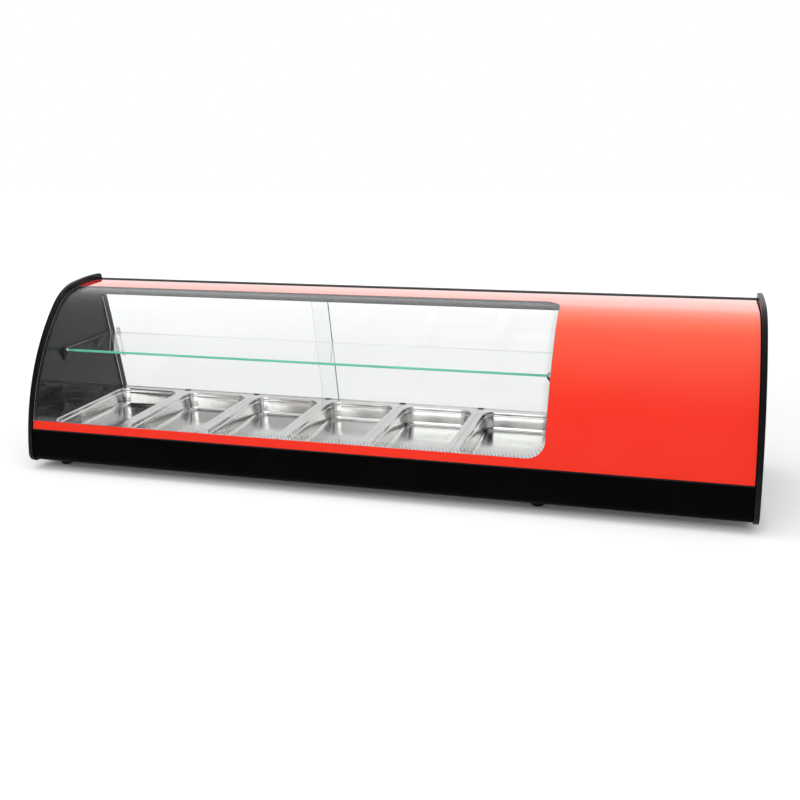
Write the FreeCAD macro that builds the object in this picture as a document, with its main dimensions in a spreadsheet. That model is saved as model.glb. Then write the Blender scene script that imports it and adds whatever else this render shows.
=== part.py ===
"""Refrigerated counter-top deli case with six gastronorm pans, as a parametric FreeCAD document.

Frame: millimetres, +Z up, the front faces -Y, +X is the right-hand end seen from the front.
The origin is on the surface that the case stands on, under the middle of its length and depth.
"""
import FreeCAD, Part
import math
import os

import Sketcher

V = FreeCAD.Vector
doc = FreeCAD.newDocument("DeliCase")
sheet = doc.addObject("Spreadsheet::Sheet", "Sizes")
parts = []
aliases = []


# ---------------------------------------------------------------- measures bound to the spreadsheet

class Measure:
    """A length, angle or count that knows both its value and its spreadsheet formula."""

    def __init__(self, value, text):
        self.value = float(value)
        self.text = text

    def __add__(self, other):
        other = measure(other)
        return Measure(self.value + other.value, f"({self.text} + {other.text})")

    def __radd__(self, other):
        return measure(other) + self

    def __sub__(self, other):
        other = measure(other)
        return Measure(self.value - other.value, f"({self.text} - {other.text})")

    def __rsub__(self, other):
        return measure(other) - self

    def __mul__(self, other):
        other = measure(other)
        return Measure(self.value * other.value, f"({self.text} * {other.text})")

    def __rmul__(self, other):
        return self * other

    def __truediv__(self, other):
        other = measure(other)
        return Measure(self.value / other.value, f"({self.text} / {other.text})")

    def __neg__(self):
        return Measure(-self.value, f"(0 - {self.text})")


def measure(quantity):
    """Turn a bare number into a Measure and leave a Measure as it is."""
    if isinstance(quantity, Measure):
        return quantity
    return Measure(quantity, repr(float(quantity)))


def number(quantity):
    """The plain value of a Measure or a number."""
    return quantity.value if isinstance(quantity, Measure) else float(quantity)


def sine(angle):
    return Measure(math.sin(math.radians(angle.value)), f"sin({angle.text})")


def cosine(angle):
    return Measure(math.cos(math.radians(angle.value)), f"cos({angle.text})")


def root(square):
    return Measure(math.sqrt(square.value), f"sqrt({square.text})")


def size(name, value):
    """Write one driving dimension into the spreadsheet and return it as a Measure."""
    cell = f"B{len(aliases) + 1}"
    sheet.set(f"A{len(aliases) + 1}", name)
    sheet.set(cell, str(value))
    sheet.setAlias(cell, name)
    aliases.append(name)
    return Measure(value, f"Sizes.{name}")


# whole case
end_panel_thickness = size("end_panel_thickness", 10)
foot_height = size("foot_height", 21)
end_panel_drop = size("end_panel_drop", 3)
sill_height = size("sill_height", 88)
sheet_steel = size("sheet_steel", 1.2)
fit_gap = size("fit_gap", 0.5)

# side profile: three tangent arcs, then a straight rear edge that leans forward
profile_centre_height = size("profile_centre_height", 20.5)
front_radius = size("front_radius", 430)
front_sweep = size("front_sweep", 47)
shoulder_radius = size("shoulder_radius", 142)
shoulder_sweep = size("shoulder_sweep", 36)
crown_radius = size("crown_radius", 700)
toe_radius = size("toe_radius", 20)
nose_radius = size("nose_radius", 9)
heel_radius = size("heel_radius", 12)
rear_lean = size("rear_lean", 15)
panel_edge_round = size("panel_edge_round", 2.5)

# curved front glass and its hinge
glass_thickness = size("glass_thickness", 5)
glass_inset = size("glass_inset", 6.5)
glass_forward = size("glass_forward", 4.5)
glass_drop = size("glass_drop", 5.5)
glass_side_gap = size("glass_side_gap", 1.5)
glass_rear_inset = size("glass_rear_inset", 127)
seal_thickness = size("seal_thickness", 2.2)
seal_gap = size("seal_gap", 0.3)
seal_width = size("seal_width", 5)
hinge_barrel_radius = size("hinge_barrel_radius", 7)
hinge_pin_radius = size("hinge_pin_radius", 3)
hinge_pin_clearance = size("hinge_pin_clearance", 0.05)
hinge_pin_length = size("hinge_pin_length", 20)
hinge_pin_seat = size("hinge_pin_seat", 6)
hinge_ledge = size("hinge_ledge", 14)
hinge_ledge_thickness = size("hinge_ledge_thickness", 3)

# base
fascia_inset = size("fascia_inset", 3)
fascia_wall = size("fascia_wall", 3)
fascia_toe_radius = size("fascia_toe_radius", 17)
fascia_end_plate = size("fascia_end_plate", 2)
base_pan_flange = size("base_pan_flange", 30)
body_set_back = size("body_set_back", 42)
foot_radius = size("foot_radius", 12.5)
foot_end_inset = size("foot_end_inset", 39)
foot_wall_inset = size("foot_wall_inset", 15.5)
foot_front_inset = size("foot_front_inset", 26)
foot_rear_inset = size("foot_rear_inset", 54)
foot_taper = size("foot_taper", 1.5)

# pans, their frame and the cold well
pan_count = 6
pan_width = size("pan_width", 176)
pan_gap = size("pan_gap", 0.5)
pan_length = size("pan_length", 325)
pan_front_gap = size("pan_front_gap", 2.5)
pan_rear_gap = size("pan_rear_gap", 13)
pan_depth = size("pan_depth", 40)
pan_wall = size("pan_wall", 1)
pan_flange = size("pan_flange", 12.5)
pan_taper = size("pan_taper", 8)
pan_corner = size("pan_corner", 24)
pan_rim_corner = size("pan_rim_corner", 16)
pan_end_gap = size("pan_end_gap", 6)
rim_height = size("rim_height", 95)
frame_sheet = size("frame_sheet", 1.5)
frame_lip = size("frame_lip", 6.5)
frame_front_gap = size("frame_front_gap", 3)
support_bar_width = size("support_bar_width", 9)
support_bar_height = size("support_bar_height", 5)
clip_width = size("clip_width", 13)
clip_depth = size("clip_depth", 6)
clip_height = size("clip_height", 1.5)
well_floor = size("well_floor", 42)
well_wall = size("well_wall", 1)
well_flange = size("well_flange", 7)
well_margin = size("well_margin", 3)
coil_radius = size("coil_radius", 4)
coil_rows = 6
coil_end_margin = size("coil_end_margin", 60)
coil_side_margin = size("coil_side_margin", 30)

# inner walls, shelf and lamp
liner_thickness = size("liner_thickness", 4)
partition_thickness = size("partition_thickness", 20)
wall_step_reach = size("wall_step_reach", 21)
wall_gap = size("wall_gap", 2)
shelf_height = size("shelf_height", 230.5)
shelf_thickness = size("shelf_thickness", 5)
shelf_set_back = size("shelf_set_back", 142)
shelf_back_gap = size("shelf_back_gap", 5)
shelf_corner = size("shelf_corner", 12)
rail_ledge = size("rail_ledge", 8)
rail_sheet = size("rail_sheet", 2)
rail_above = size("rail_above", 6)
rail_back_gap = size("rail_back_gap", 6)
bracket_reach = size("bracket_reach", 14)
bracket_foot = size("bracket_foot", 2)
bracket_depth = size("bracket_depth", 22)
bracket_length = size("bracket_length", 24)
bracket_set_in = size("bracket_set_in", 41)
lamp_reach = size("lamp_reach", 65)
lamp_depth = size("lamp_depth", 26)
lamp_bottom = size("lamp_bottom", 343)
lamp_height = size("lamp_height", 11)
lamp_wall = size("lamp_wall", 1.5)
diffuser_thickness = size("diffuser_thickness", 2)
led_board_thickness = size("led_board_thickness", 1.6)

# sliding doors
door_set_in = size("door_set_in", 45.5)
door_thickness = size("door_thickness", 5)
door_overlap = size("door_overlap", 42)
door_play = size("door_play", 1.5)
track_wall = size("track_wall", 2)
track_groove = size("track_groove", 8)
lower_track_height = size("lower_track_height", 10)
track_sink = size("track_sink", 23)
upper_track_height = size("upper_track_height", 14)
jamb_width = size("jamb_width", 8)
stop_proud = size("stop_proud", 3)
stop_reach = size("stop_reach", 5)
grip_width = size("grip_width", 14)
grip_height = size("grip_height", 80)
grip_depth = size("grip_depth", 9)
grip_inset = size("grip_inset", 9)

# machine compartment
machine_length = size("machine_length", 342.5)
louvre_count = 9
louvre_length = size("louvre_length", 200)
louvre_height = size("louvre_height", 5)
louvre_pitch = size("louvre_pitch", 12)
louvre_start = size("louvre_start", 20)
louvre_margin = size("louvre_margin", 2)
condenser_gap = size("condenser_gap", 26.5)
condenser_width = size("condenser_width", 190)
condenser_height = size("condenser_height", 190)
condenser_depth = size("condenser_depth", 44)
condenser_set_in = size("condenser_set_in", 154)
condenser_lift = size("condenser_lift", 8)
condenser_foot_width = size("condenser_foot_width", 16)
condenser_foot_depth = size("condenser_foot_depth", 22)
condenser_frame = size("condenser_frame", 8)
fin_count = 18
fin_thickness = size("fin_thickness", 5)
fan_radius = size("fan_radius", 80)
fan_depth = size("fan_depth", 22)
fan_hub_radius = size("fan_hub_radius", 22)
blade_count = 5
blade_thickness = size("blade_thickness", 2.5)
blade_root_pitch = size("blade_root_pitch", 48)
blade_tip_pitch = size("blade_tip_pitch", 24)
blade_root_sink = size("blade_root_sink", 4)
blade_end_margin = size("blade_end_margin", 0.7)
shroud_depth = size("shroud_depth", 30)
shroud_wall = size("shroud_wall", 3)
fan_tip_gap = size("fan_tip_gap", 4)
motor_radius = size("motor_radius", 30)
motor_length = size("motor_length", 45)
motor_shaft_radius = size("motor_shaft_radius", 3)
compressor_inset = size("compressor_inset", 70)
compressor_set_back = size("compressor_set_back", 135)
compressor_radius = size("compressor_radius", 58)
compressor_height = size("compressor_height", 150)
compressor_dome = size("compressor_dome", 20)
seam_height = size("seam_height", 82)
seam_flange = size("seam_flange", 3)
mount_reach = size("mount_reach", 65)
grommet_radius = size("grommet_radius", 8)
mount_height = size("mount_height", 16)
mount_plate = size("mount_plate", 2.5)
drier_radius = size("drier_radius", 10)
drier_length = size("drier_length", 90)
drier_offset = size("drier_offset", 35)
drier_gap = size("drier_gap", 20)
drier_lift = size("drier_lift", 75)
pipe_radius = size("pipe_radius", 3)
pipe_bend = size("pipe_bend", 9)
pipe_clearance = size("pipe_clearance", 12)
pipe_side_run = size("pipe_side_run", 21)
shell_port = size("shell_port", 112)
outlet_port = size("outlet_port", 30)
liquid_rise = size("liquid_rise", 30)

# controls on the rear
controller_gap = size("controller_gap", 96.5)
controller_width = size("controller_width", 76)
controller_height = size("controller_height", 34)
controller_depth = size("controller_depth", 55)
controller_bezel = size("controller_bezel", 3)
control_line = size("control_line", 178)
key_width = size("key_width", 12)
key_height = size("key_height", 7)
key_proud = size("key_proud", 1.5)
key_travel = size("key_travel", 1)
key_clearance = size("key_clearance", 0.3)
key_depth = size("key_depth", 5)
switch_gap = size("switch_gap", 34)
switch_pitch = size("switch_pitch", 40)
switch_width = size("switch_width", 15)
switch_height = size("switch_height", 22)
switch_depth = size("switch_depth", 20)
switch_bezel = size("switch_bezel", 2.5)
switch_wall = size("switch_wall", 1)
switch_well = size("switch_well", 10)
rocker_clearance = size("rocker_clearance", 0.6)
rocker_tilt = size("rocker_tilt", 8)
rocker_end_gap = size("rocker_end_gap", 1)
rocker_crest = size("rocker_crest", 2)
rocker_valley = size("rocker_valley", 0.5)
rocker_skirt = size("rocker_skirt", 1.25)
rocker_hub = size("rocker_hub", 3)
gland_inset = size("gland_inset", 40)
gland_line = size("gland_line", 40)
gland_radius = size("gland_radius", 10)
gland_thread_radius = size("gland_thread_radius", 7)
gland_bore = size("gland_bore", 4)
gland_length = size("gland_length", 24)
gland_collar_length = size("gland_collar_length", 12)
screw_radius = size("screw_radius", 4)
screw_head = size("screw_head", 2.2)
screw_shank = size("screw_shank", 2)
screw_reach = size("screw_reach", 13.5)
screw_low = size("screw_low", 44)
screw_high = size("screw_high", 300)
screw_front_inset = size("screw_front_inset", 34)
screw_rear_inset = size("screw_rear_inset", 52)
screw_middle_inset = size("screw_middle_inset", 188)
screw_upper_inset = size("screw_upper_inset", 130)

# ---------------------------------------------------------------- places worked out from the sizes

# the pans and the machine behind the partition set the length, and the pans the depth
pan_pitch = pan_width + pan_gap
pan_row = pan_count * pan_pitch
case_length = (2 * end_panel_thickness + liner_thickness + fit_gap + pan_row + pan_end_gap
               + partition_thickness + machine_length)
case_depth = body_set_back + pan_front_gap + pan_length + pan_rear_gap + door_set_in
half_length = case_length / 2
inner_end = half_length - end_panel_thickness
rear_face = case_depth / 2
front_face = -rear_face
body_front = front_face + body_set_back
pan_centre = body_front + pan_front_gap + pan_length / 2
door_front = rear_face - door_set_in
glass_rear_edge = rear_face - glass_rear_inset
wall_step = glass_rear_edge - wall_step_reach
base_bottom = foot_height
panel_bottom = base_bottom - end_panel_drop
floor_top = base_bottom + sheet_steel
liner_face = -(inner_end - liner_thickness)
pans_left = liner_face + fit_gap
partition_face = pans_left + pan_row + pan_end_gap
partition_back = partition_face + partition_thickness
frame_top = rim_height - pan_wall
frame_bottom = frame_top - frame_sheet
track_depth = 3 * track_wall + 2 * track_groove
track_foot = -track_sink
lean_sine = sine(rear_lean)
lean_cosine = cosine(rear_lean)
lean_slope = lean_sine / lean_cosine
profile_y = front_face + front_radius
hinge_y = glass_rear_edge + hinge_barrel_radius + 3 * fit_gap


def leaning_y(out, up):
    """Y of a point given by its distances out of and up the leaning door plane."""
    return door_front + out * lean_cosine - up * lean_sine


def leaning_z(out, up):
    """Z of a point given by its distances out of and up the leaning door plane."""
    return rim_height + out * lean_sine + up * lean_cosine


# ---------------------------------------------------------------- outlines

class Outline:
    """A closed outline of lines and arcs in the (Y, Z) plane, drawn into a sketch in order."""

    def __init__(self):
        self.pieces = []

    def line(self, start, end):
        self.pieces.append(("line", start, end, None))

    def path(self, points):
        for start, end in zip(points, points[1:]):
            self.line(start, end)

    def arc(self, centre, radius, begin, finish, bound=None):
        """Add an arc from angle begin to finish, in degrees from +Y towards +Z."""
        self.pieces.append(("arc", centre, (number(radius), begin, finish), bound))

    def ends(self, piece):
        kind, first, second, bound = piece
        if kind == "line":
            return first, second
        radius, begin, finish = second
        return polar(first, radius, begin), polar(first, radius, finish)

    def close(self):
        """Join the last piece to the first with a line."""
        self.line(self.ends(self.pieces[-1])[1], self.ends(self.pieces[0])[0])

    def draw(self, sketch):
        """Draw the pieces, join their ends and bind the named radii to the spreadsheet."""
        handles = []
        for kind, first, second, bound in self.pieces:
            if kind == "line":
                shape = Part.LineSegment(V(*first, 0), V(*second, 0))
                index = sketch.addGeometry(shape, False)
                handles.append((index, 1, 2))
                continue
            radius, begin, finish = second
            circle = Part.Circle(V(*first, 0), V(0, 0, 1), radius)
            low, high = sorted((math.radians(begin), math.radians(finish)))
            index = sketch.addGeometry(Part.ArcOfCircle(circle, low, high), False)
            handles.append((index, 1, 2) if begin < finish else (index, 2, 1))
            if bound is not None:
                place = sketch.addConstraint(Sketcher.Constraint("Radius", index, radius))
                sketch.setExpression(f"Constraints[{place}]", bound.text)
        for (one, _, tail), (two, head, _) in zip(handles, handles[1:] + handles[:1]):
            sketch.addConstraint(Sketcher.Constraint("Coincident", one, tail, two, head))


def polar(centre, radius, degrees):
    angle = math.radians(degrees)
    return centre[0] + radius * math.cos(angle), centre[1] + radius * math.sin(angle)


def measured_polar(centre, radius, angle):
    return centre[0] + radius * cosine(angle), centre[1] + radius * sine(angle)


def skin_measures(forward, drop):
    """Centres of the front, shoulder and crown arcs as Measures, moved forward and down."""
    front = (profile_y - forward, profile_centre_height - drop)
    first_joint = 180 - front_sweep
    shoulder = measured_polar(front, front_radius - shoulder_radius, first_joint)
    crown = measured_polar(shoulder, shoulder_radius - crown_radius, first_joint - shoulder_sweep)
    return front, shoulder, crown


def skin_centres(forward, drop):
    """Centres of the three arcs as plain numbers, and the angles where the arcs meet."""
    centres = [(number(y), number(z)) for y, z in skin_measures(forward, drop)]
    first_joint = 180 - number(front_sweep)
    return centres, (first_joint, first_joint - number(shoulder_sweep))


def crown_height(inset, y):
    """Height of the glass's crown arc at an inset and a depth, as a Measure."""
    centre = skin_measures(glass_forward, glass_drop)[2]
    radius = crown_radius - inset
    return centre[1] + root(radius * radius - (y - centre[0]) * (y - centre[0]))


def front_arc_y(inset, height):
    """Depth of the glass's front arc at an inset and a height, as a Measure."""
    centre = skin_measures(glass_forward, glass_drop)[0]
    radius = front_radius - inset
    return centre[0] - root(radius * radius - (height - centre[1]) * (height - centre[1]))


SKIN_RADII = (front_radius, shoulder_radius, crown_radius)


def skin_arcs(inset, forward, drop, low_z=None, low_angle=None, high_y=None, high_angle=None):
    """The three arcs of the side profile at an inset, from a low height to a high depth."""
    centres, joints = skin_centres(forward, drop)
    radii = [radius - inset for radius in SKIN_RADII]
    if low_angle is None:
        low_angle = 180 - math.degrees(math.asin((number(low_z) - centres[0][1]) / number(radii[0])))
    if high_angle is None:
        high_angle = math.degrees(math.acos((number(high_y) - centres[2][0]) / number(radii[2])))
    turns = [low_angle, joints[0], joints[1], high_angle]
    return [(centres[i], radii[i], turns[i], turns[i + 1]) for i in range(3)]


def far_crossing(point, direction, centre, radius):
    """Where a line along a unit direction leaves a circle."""
    offset = (point[0] - centre[0], point[1] - centre[1])
    middle = offset[0] * direction[0] + offset[1] * direction[1]
    rest = offset[0] ** 2 + offset[1] ** 2 - radius ** 2
    travel = -middle + math.sqrt(middle ** 2 - rest)
    return point[0] + travel * direction[0], point[1] + travel * direction[1]


def direction_of(centre, point):
    """Angle of a point seen from a centre, in degrees from 0 to 360."""
    return math.degrees(math.atan2(point[1] - centre[1], point[0] - centre[0])) % 360


# ---------------------------------------------------------------- making and binding objects

def keep(item, label):
    """Name an object as a finished sub-part."""
    item.Label = label
    parts.append(item)
    return item


def bind(item, **properties):
    """Bind properties of an object to spreadsheet formulas; x, y and z place it."""
    places = {"x": "Placement.Base.x", "y": "Placement.Base.y", "z": "Placement.Base.z"}
    for name, quantity in properties.items():
        item.setExpression(places.get(name, name), measure(quantity).text)
    return item


def lean(item, x, out, up):
    """Put an object on the door plane: x along the case, out of the plane and up it."""
    item.Placement = FreeCAD.Placement(V(), FreeCAD.Rotation(V(1, 0, 0), number(rear_lean)))
    item.setExpression("Placement.Rotation.Angle", rear_lean.text)
    return bind(item, x=x, y=leaning_y(out, up), z=leaning_z(out, up))


def box(name, x, y, z, length, width, height):
    item = doc.addObject("Part::Box", name)
    return bind(item, x=x, y=y, z=z, Length=length, Width=width, Height=height)


def leaning_box(name, x, out, up, length, width, height):
    item = doc.addObject("Part::Box", name)
    bind(item, Length=length, Width=width, Height=height)
    return lean(item, x, out, up)


AXIS_TURNS = {
    "X": FreeCAD.Rotation(V(0, 1, 0), 90),
    "Y": FreeCAD.Rotation(V(1, 0, 0), -90),
    "Z": FreeCAD.Rotation(),
}


def cylinder(name, axis, x, y, z, radius, height):
    """A cylinder that starts at a point and runs along +X, +Y or +Z."""
    item = doc.addObject("Part::Cylinder", name)
    item.Placement = FreeCAD.Placement(V(), AXIS_TURNS[axis])
    return bind(item, x=x, y=y, z=z, Radius=radius, Height=height)


def leaning_cylinder(name, x, out, up, radius, height):
    """A cylinder whose axis runs straight out of the door plane."""
    item = doc.addObject("Part::Cylinder", name)
    bind(item, Radius=radius, Height=height)
    item.Placement = FreeCAD.Placement(V(), FreeCAD.Rotation(V(-1, 0, 0), 90 - number(rear_lean)))
    item.setExpression("Placement.Rotation.Angle", (90 - rear_lean).text)
    return bind(item, x=x, y=leaning_y(out, up), z=leaning_z(out, up))


def cut(name, base, *tools):
    for index, tool in enumerate(tools):
        item = doc.addObject("Part::Cut", f"{name}_cut_{index}")
        item.Base = base
        item.Tool = tool
        base = item
    return base


def fuse(name, *shapes):
    item = doc.addObject("Part::MultiFuse", f"{name}_fuse")
    item.Shapes = list(shapes)
    return item


def group(name, *shapes):
    item = doc.addObject("Part::Compound", f"{name}_group")
    item.Links = list(shapes)
    return item


def origin_plane(body, role):
    return next(item for item in body.Origin.OriginFeatures if item.Role == role)


def sketch_on(body, role, name):
    sketch = body.newObject("Sketcher::SketchObject", name)
    sketch.AttachmentSupport = (origin_plane(body, role), [""])
    sketch.MapMode = "FlatFace"
    return sketch


def pad(body, sketch, length, name):
    feature = body.newObject("PartDesign::Pad", name)
    feature.Profile = sketch
    feature.setExpression("Length", measure(length).text)
    sketch.Visibility = False
    return feature


def extrusion(name, outline, start, length):
    """A body whose (Y, Z) outline is padded along +X from a start."""
    body = doc.addObject("PartDesign::Body", name)
    sketch = sketch_on(body, "YZ_Plane", f"{name}_outline")
    outline.draw(sketch)
    pad(body, sketch, length, f"{name}_pad")
    return bind(body, x=start)


def rounded_rectangle(sketch, width, length, corner):
    """A rounded rectangle about the sketch's origin, its corners bound to the spreadsheet."""
    across, along, radius = number(width) / 2, number(length) / 2, number(corner)
    inner_x, inner_y = across - radius, along - radius
    outline = Outline()
    centres = [(inner_x, inner_y), (-inner_x, inner_y), (-inner_x, -inner_y), (inner_x, -inner_y)]
    for index, centre in enumerate(centres):
        begin = 90 * index
        outline.arc(centre, radius, begin, begin + 90, corner)
        follower = centres[(index + 1) % 4]
        outline.line(polar(centre, radius, begin + 90), polar(follower, radius, begin + 90))
    outline.draw(sketch)


# ---------------------------------------------------------------- end panels

UP_THE_LEAN = (-number(lean_sine), number(lean_cosine))


def rear_edge(height, inset=0):
    """A point on the end panel's leaning rear edge, or on a line inside it."""
    y = number(rear_face) - (height - number(panel_bottom)) * number(lean_slope)
    return y - inset / number(lean_cosine), height


def door_plane(height, out=0):
    """A point on the front of the doors' plane, or on a plane behind it."""
    y = number(door_front) - (height - number(rim_height)) * number(lean_slope)
    return y + out / number(lean_cosine), height


def toe_circle(inset, toe, bottom):
    """Centre of a corner inside the front arc that stands on a bottom line."""
    centre = skin_centres(0, 0)[0][0]
    rise = bottom + toe - centre[1]
    reach = number(front_radius) - inset - toe
    return centre[0] - math.sqrt(reach ** 2 - rise ** 2), bottom + toe


def end_panel_outline():
    """Toe corner, three arcs, nose corner, leaning rear edge, heel corner, flat bottom."""
    centres = skin_centres(0, 0)[0]
    toe, nose, heel = number(toe_radius), number(nose_radius), number(heel_radius)
    bottom, angle = number(panel_bottom), number(rear_lean)
    toe_centre = toe_circle(0, toe, bottom)
    toe_angle = direction_of(centres[0], toe_centre)
    inner_crown = number(crown_radius) - nose
    nose_centre = far_crossing(rear_edge(bottom, nose), UP_THE_LEAN, centres[2], inner_crown)
    crown_end = direction_of(centres[2], nose_centre)
    heel_centre = rear_edge(bottom + heel, heel)
    outline = Outline()
    outline.arc(toe_centre, toe, 270, toe_angle, toe_radius)
    arcs = skin_arcs(0, 0, 0, low_angle=toe_angle, high_angle=crown_end)
    for (centre, radius, begin, finish), bound in zip(arcs, SKIN_RADII):
        outline.arc(centre, radius, begin, finish, bound)
    outline.arc(nose_centre, nose, crown_end, angle, nose_radius)
    outline.line(polar(nose_centre, nose, angle), polar(heel_centre, heel, angle))
    outline.arc(heel_centre, heel, angle, -90, heel_radius)
    outline.close()
    return outline


def end_panel(label, start, outer_side):
    """One moulded end panel with a rounded outer edge."""
    body = extrusion(label, end_panel_outline(), start, end_panel_thickness)
    doc.recompute()
    plate = body.Tip
    edges = [f"Edge{place}" for place, edge in enumerate(body.Shape.Edges, 1)
             if all(abs(vertex.X - number(outer_side)) < 0.01 for vertex in edge.Vertexes)]
    rounding = body.newObject("PartDesign::Fillet", f"{label}_rounding")
    rounding.Base = (plate, edges)
    rounding.setExpression("Radius", panel_edge_round.text)
    return body


# the hinge axis lies under the glass's rear edge line, its barrel flush with the glass on top
hinge_height = crown_height(glass_inset, glass_rear_edge) - hinge_barrel_radius
screw_places = ((front_face + screw_front_inset, screw_low), (rear_face - screw_rear_inset, screw_low),
                (rear_face - screw_upper_inset, screw_high),
                (front_face + screw_middle_inset, screw_high))


def screw_holes(name, places):
    """Clear holes along the whole case, one at each of the given places."""
    return [cylinder(f"{name}_hole_{spot}", "X", -half_length, y, z,
                     screw_shank + hinge_pin_clearance, case_length)
            for spot, (y, z) in enumerate(places)]


def bored_end_panel(name, start, outer_side, seat_start):
    """An end panel with its screw holes and the blind bore that a hinge pin is pressed into."""
    plate = end_panel(f"{name}_body", start, outer_side)
    seat = cylinder(f"{name}_pin_seat", "X", seat_start, hinge_y, hinge_height, hinge_pin_radius,
                    hinge_pin_seat)
    keep(cut(name, plate, seat, *screw_holes(name, screw_places)), name)


bored_end_panel("left_end_panel", -half_length, -half_length, -inner_end - hinge_pin_seat)
bored_end_panel("right_end_panel", inner_end, half_length, inner_end)

# ---------------------------------------------------------------- curved glass, walls and seals


def shell_outline(outer, inner, forward, drop, low_z, high_y):
    """A band between two insets of the side profile, closed by two straight ends."""
    outline = Outline()
    outside = skin_arcs(outer, forward, drop, low_z=low_z, high_y=high_y)
    inside = skin_arcs(inner, forward, drop, low_z=low_z, high_y=high_y)
    for centre, radius, begin, finish in outside:
        outline.arc(centre, radius, begin, finish, radius)
    centre, radius, _, finish = inside[-1]
    outline.line(outline.ends(outline.pieces[-1])[1], polar(centre, number(radius), finish))
    for centre, radius, begin, finish in reversed(inside):
        outline.arc(centre, radius, finish, begin, radius)
    outline.close()
    return outline


glass_inside = glass_inset + glass_thickness
glass_foot = sill_height + seal_thickness + seal_gap
glass_foot_back = front_arc_y(glass_inside, glass_foot)
glass_width = 2 * (inner_end - glass_side_gap)
glass_outline = shell_outline(glass_inset, glass_inside, glass_forward, glass_drop,
                              glass_foot, glass_rear_edge)
front_glass = keep(extrusion("front_glass", glass_outline, -(glass_width / 2), glass_width),
                   "front_glass")


rail_top = hinge_height + hinge_barrel_radius
rail_underside = hinge_height - hinge_barrel_radius
ledge_front = glass_rear_edge - hinge_ledge
ledge_top = crown_height(glass_inside, ledge_front) - seal_gap
foam_top = frame_bottom - well_wall
wall_inset = glass_inside + seal_gap + seal_thickness
skin_out = track_depth - sheet_steel


def reach_up(height, out):
    """Distance up the leaning plane at which a point that far out of it has a height."""
    return (height - rim_height - out * lean_sine) / lean_cosine


track_top = reach_up(rail_underside - fit_gap, track_depth)
over_track = track_top + fit_gap
rail_front = hinge_y + hinge_barrel_radius + 3 * fit_gap
rail_front_low = (leaning_z(track_depth, over_track)
                  - (leaning_y(track_depth, over_track) - rail_front) * lean_slope)
hinge_axis = (number(hinge_y), number(hinge_height))


def points(*pairs):
    return [(number(y), number(z)) for y, z in pairs]


def wall_outline(bottom, rear_out, front_foot=None):
    """Inner wall: glass curve in front, step under the hinge, leaning rear, flat bottom."""
    low = bottom if front_foot is None else sill_height + seal_gap
    arcs = skin_arcs(wall_inset, glass_forward, glass_drop, low_z=low, high_y=wall_step)
    outline = Outline()
    for centre, radius, begin, finish in arcs:
        outline.arc(centre, radius, begin, finish, radius)
    start, step = outline.ends(outline.pieces[0])[0], outline.ends(outline.pieces[-1])[1]
    step_height = number(rail_front_low - wall_gap)
    rear_out = number(rear_out)
    outline.path([step, (step[0], step_height), door_plane(step_height, rear_out),
                  door_plane(number(bottom), rear_out)])
    if front_foot is not None:
        foot = number(front_foot)
        outline.path([door_plane(number(bottom), rear_out), (foot, number(bottom)), (foot, start[1])])
    outline.close()
    return outline


def liner(name, start):
    """A side wall inside an end panel, with clear holes for the panel's upper screws."""
    plate = extrusion(f"{name}_plate", wall_outline(foam_top, skin_out - fit_gap), start,
                      liner_thickness)
    keep(cut(name, plate, *screw_holes(name, screw_places[2:])), name)


liner("left_liner", -inner_end)
liner("right_liner", inner_end - liner_thickness)
partition = extrusion("partition", wall_outline(floor_top, skin_out - 2 * fit_gap - sheet_steel,
                                                body_front + wall_gap),
                      partition_face, partition_thickness)
keep(partition, "machine_partition")


def seal_strip(name, start):
    outline = shell_outline(glass_inside + seal_gap, wall_inset, glass_forward, glass_drop,
                            foam_top, wall_step)
    return extrusion(name, outline, start, seal_width)


keep(group("side_seals", seal_strip("left_seal", -inner_end),
           seal_strip("partition_seal", partition_face),
           seal_strip("right_seal", inner_end - seal_width)), "glass_side_seals")
sill_seal = box("sill_seal", -(glass_width / 2), glass_foot_back - glass_thickness, sill_height,
                glass_width, glass_thickness, seal_thickness)
keep(sill_seal, "glass_sill_seal")

# ---------------------------------------------------------------- glass hinge and top rail


def hinge_profile_outline():
    """A ledge under the glass and a barrel about the hinge axis, flush with the glass on top."""
    back = number(glass_rear_edge + seal_gap)
    ledge_low = ledge_top - hinge_ledge_thickness
    top, low, axis = number(rail_top), number(rail_underside), number(hinge_y)
    outline = Outline()
    outline.arc(hinge_axis, number(hinge_barrel_radius), -90, 90, hinge_barrel_radius)
    outline.path([(axis, top), (back, top), (back, number(ledge_top)),
                  *points((ledge_front, ledge_top), (ledge_front, ledge_low)),
                  (back, number(ledge_low)), (back, low), (axis, low)])
    return outline


hinge_profile = extrusion("hinge_profile", hinge_profile_outline(), -(glass_width / 2), glass_width)
hinge_bore = cylinder("hinge_bore", "X", -half_length, hinge_y, hinge_height,
                      hinge_pin_radius + hinge_pin_clearance, case_length)
keep(cut("glass_hinge_profile", hinge_profile, hinge_bore), "glass_hinge_profile")
keep(group("hinge_pins",
           cylinder("left_hinge_pin", "X", -inner_end - hinge_pin_seat, hinge_y, hinge_height,
                    hinge_pin_radius, hinge_pin_length),
           cylinder("right_hinge_pin", "X", inner_end + hinge_pin_seat - hinge_pin_length, hinge_y,
                    hinge_height, hinge_pin_radius, hinge_pin_length)), "glass_hinge_pins")


def top_rail_outline():
    """Flat top behind the barrel, a bevelled rear and an underside on the upper track."""
    outline = Outline()
    outline.path(points((rail_front, rail_top),
                        (leaning_y(track_depth, over_track) - 4 * fit_gap, rail_top),
                        (leaning_y(track_depth, over_track), rail_top - 4 * fit_gap),
                        (leaning_y(track_depth, over_track), leaning_z(track_depth, over_track)),
                        (rail_front, rail_front_low)))
    outline.close()
    return outline


keep(extrusion("rail", top_rail_outline(), -inner_end, 2 * inner_end), "top_rail")

# ---------------------------------------------------------------- base


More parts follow.
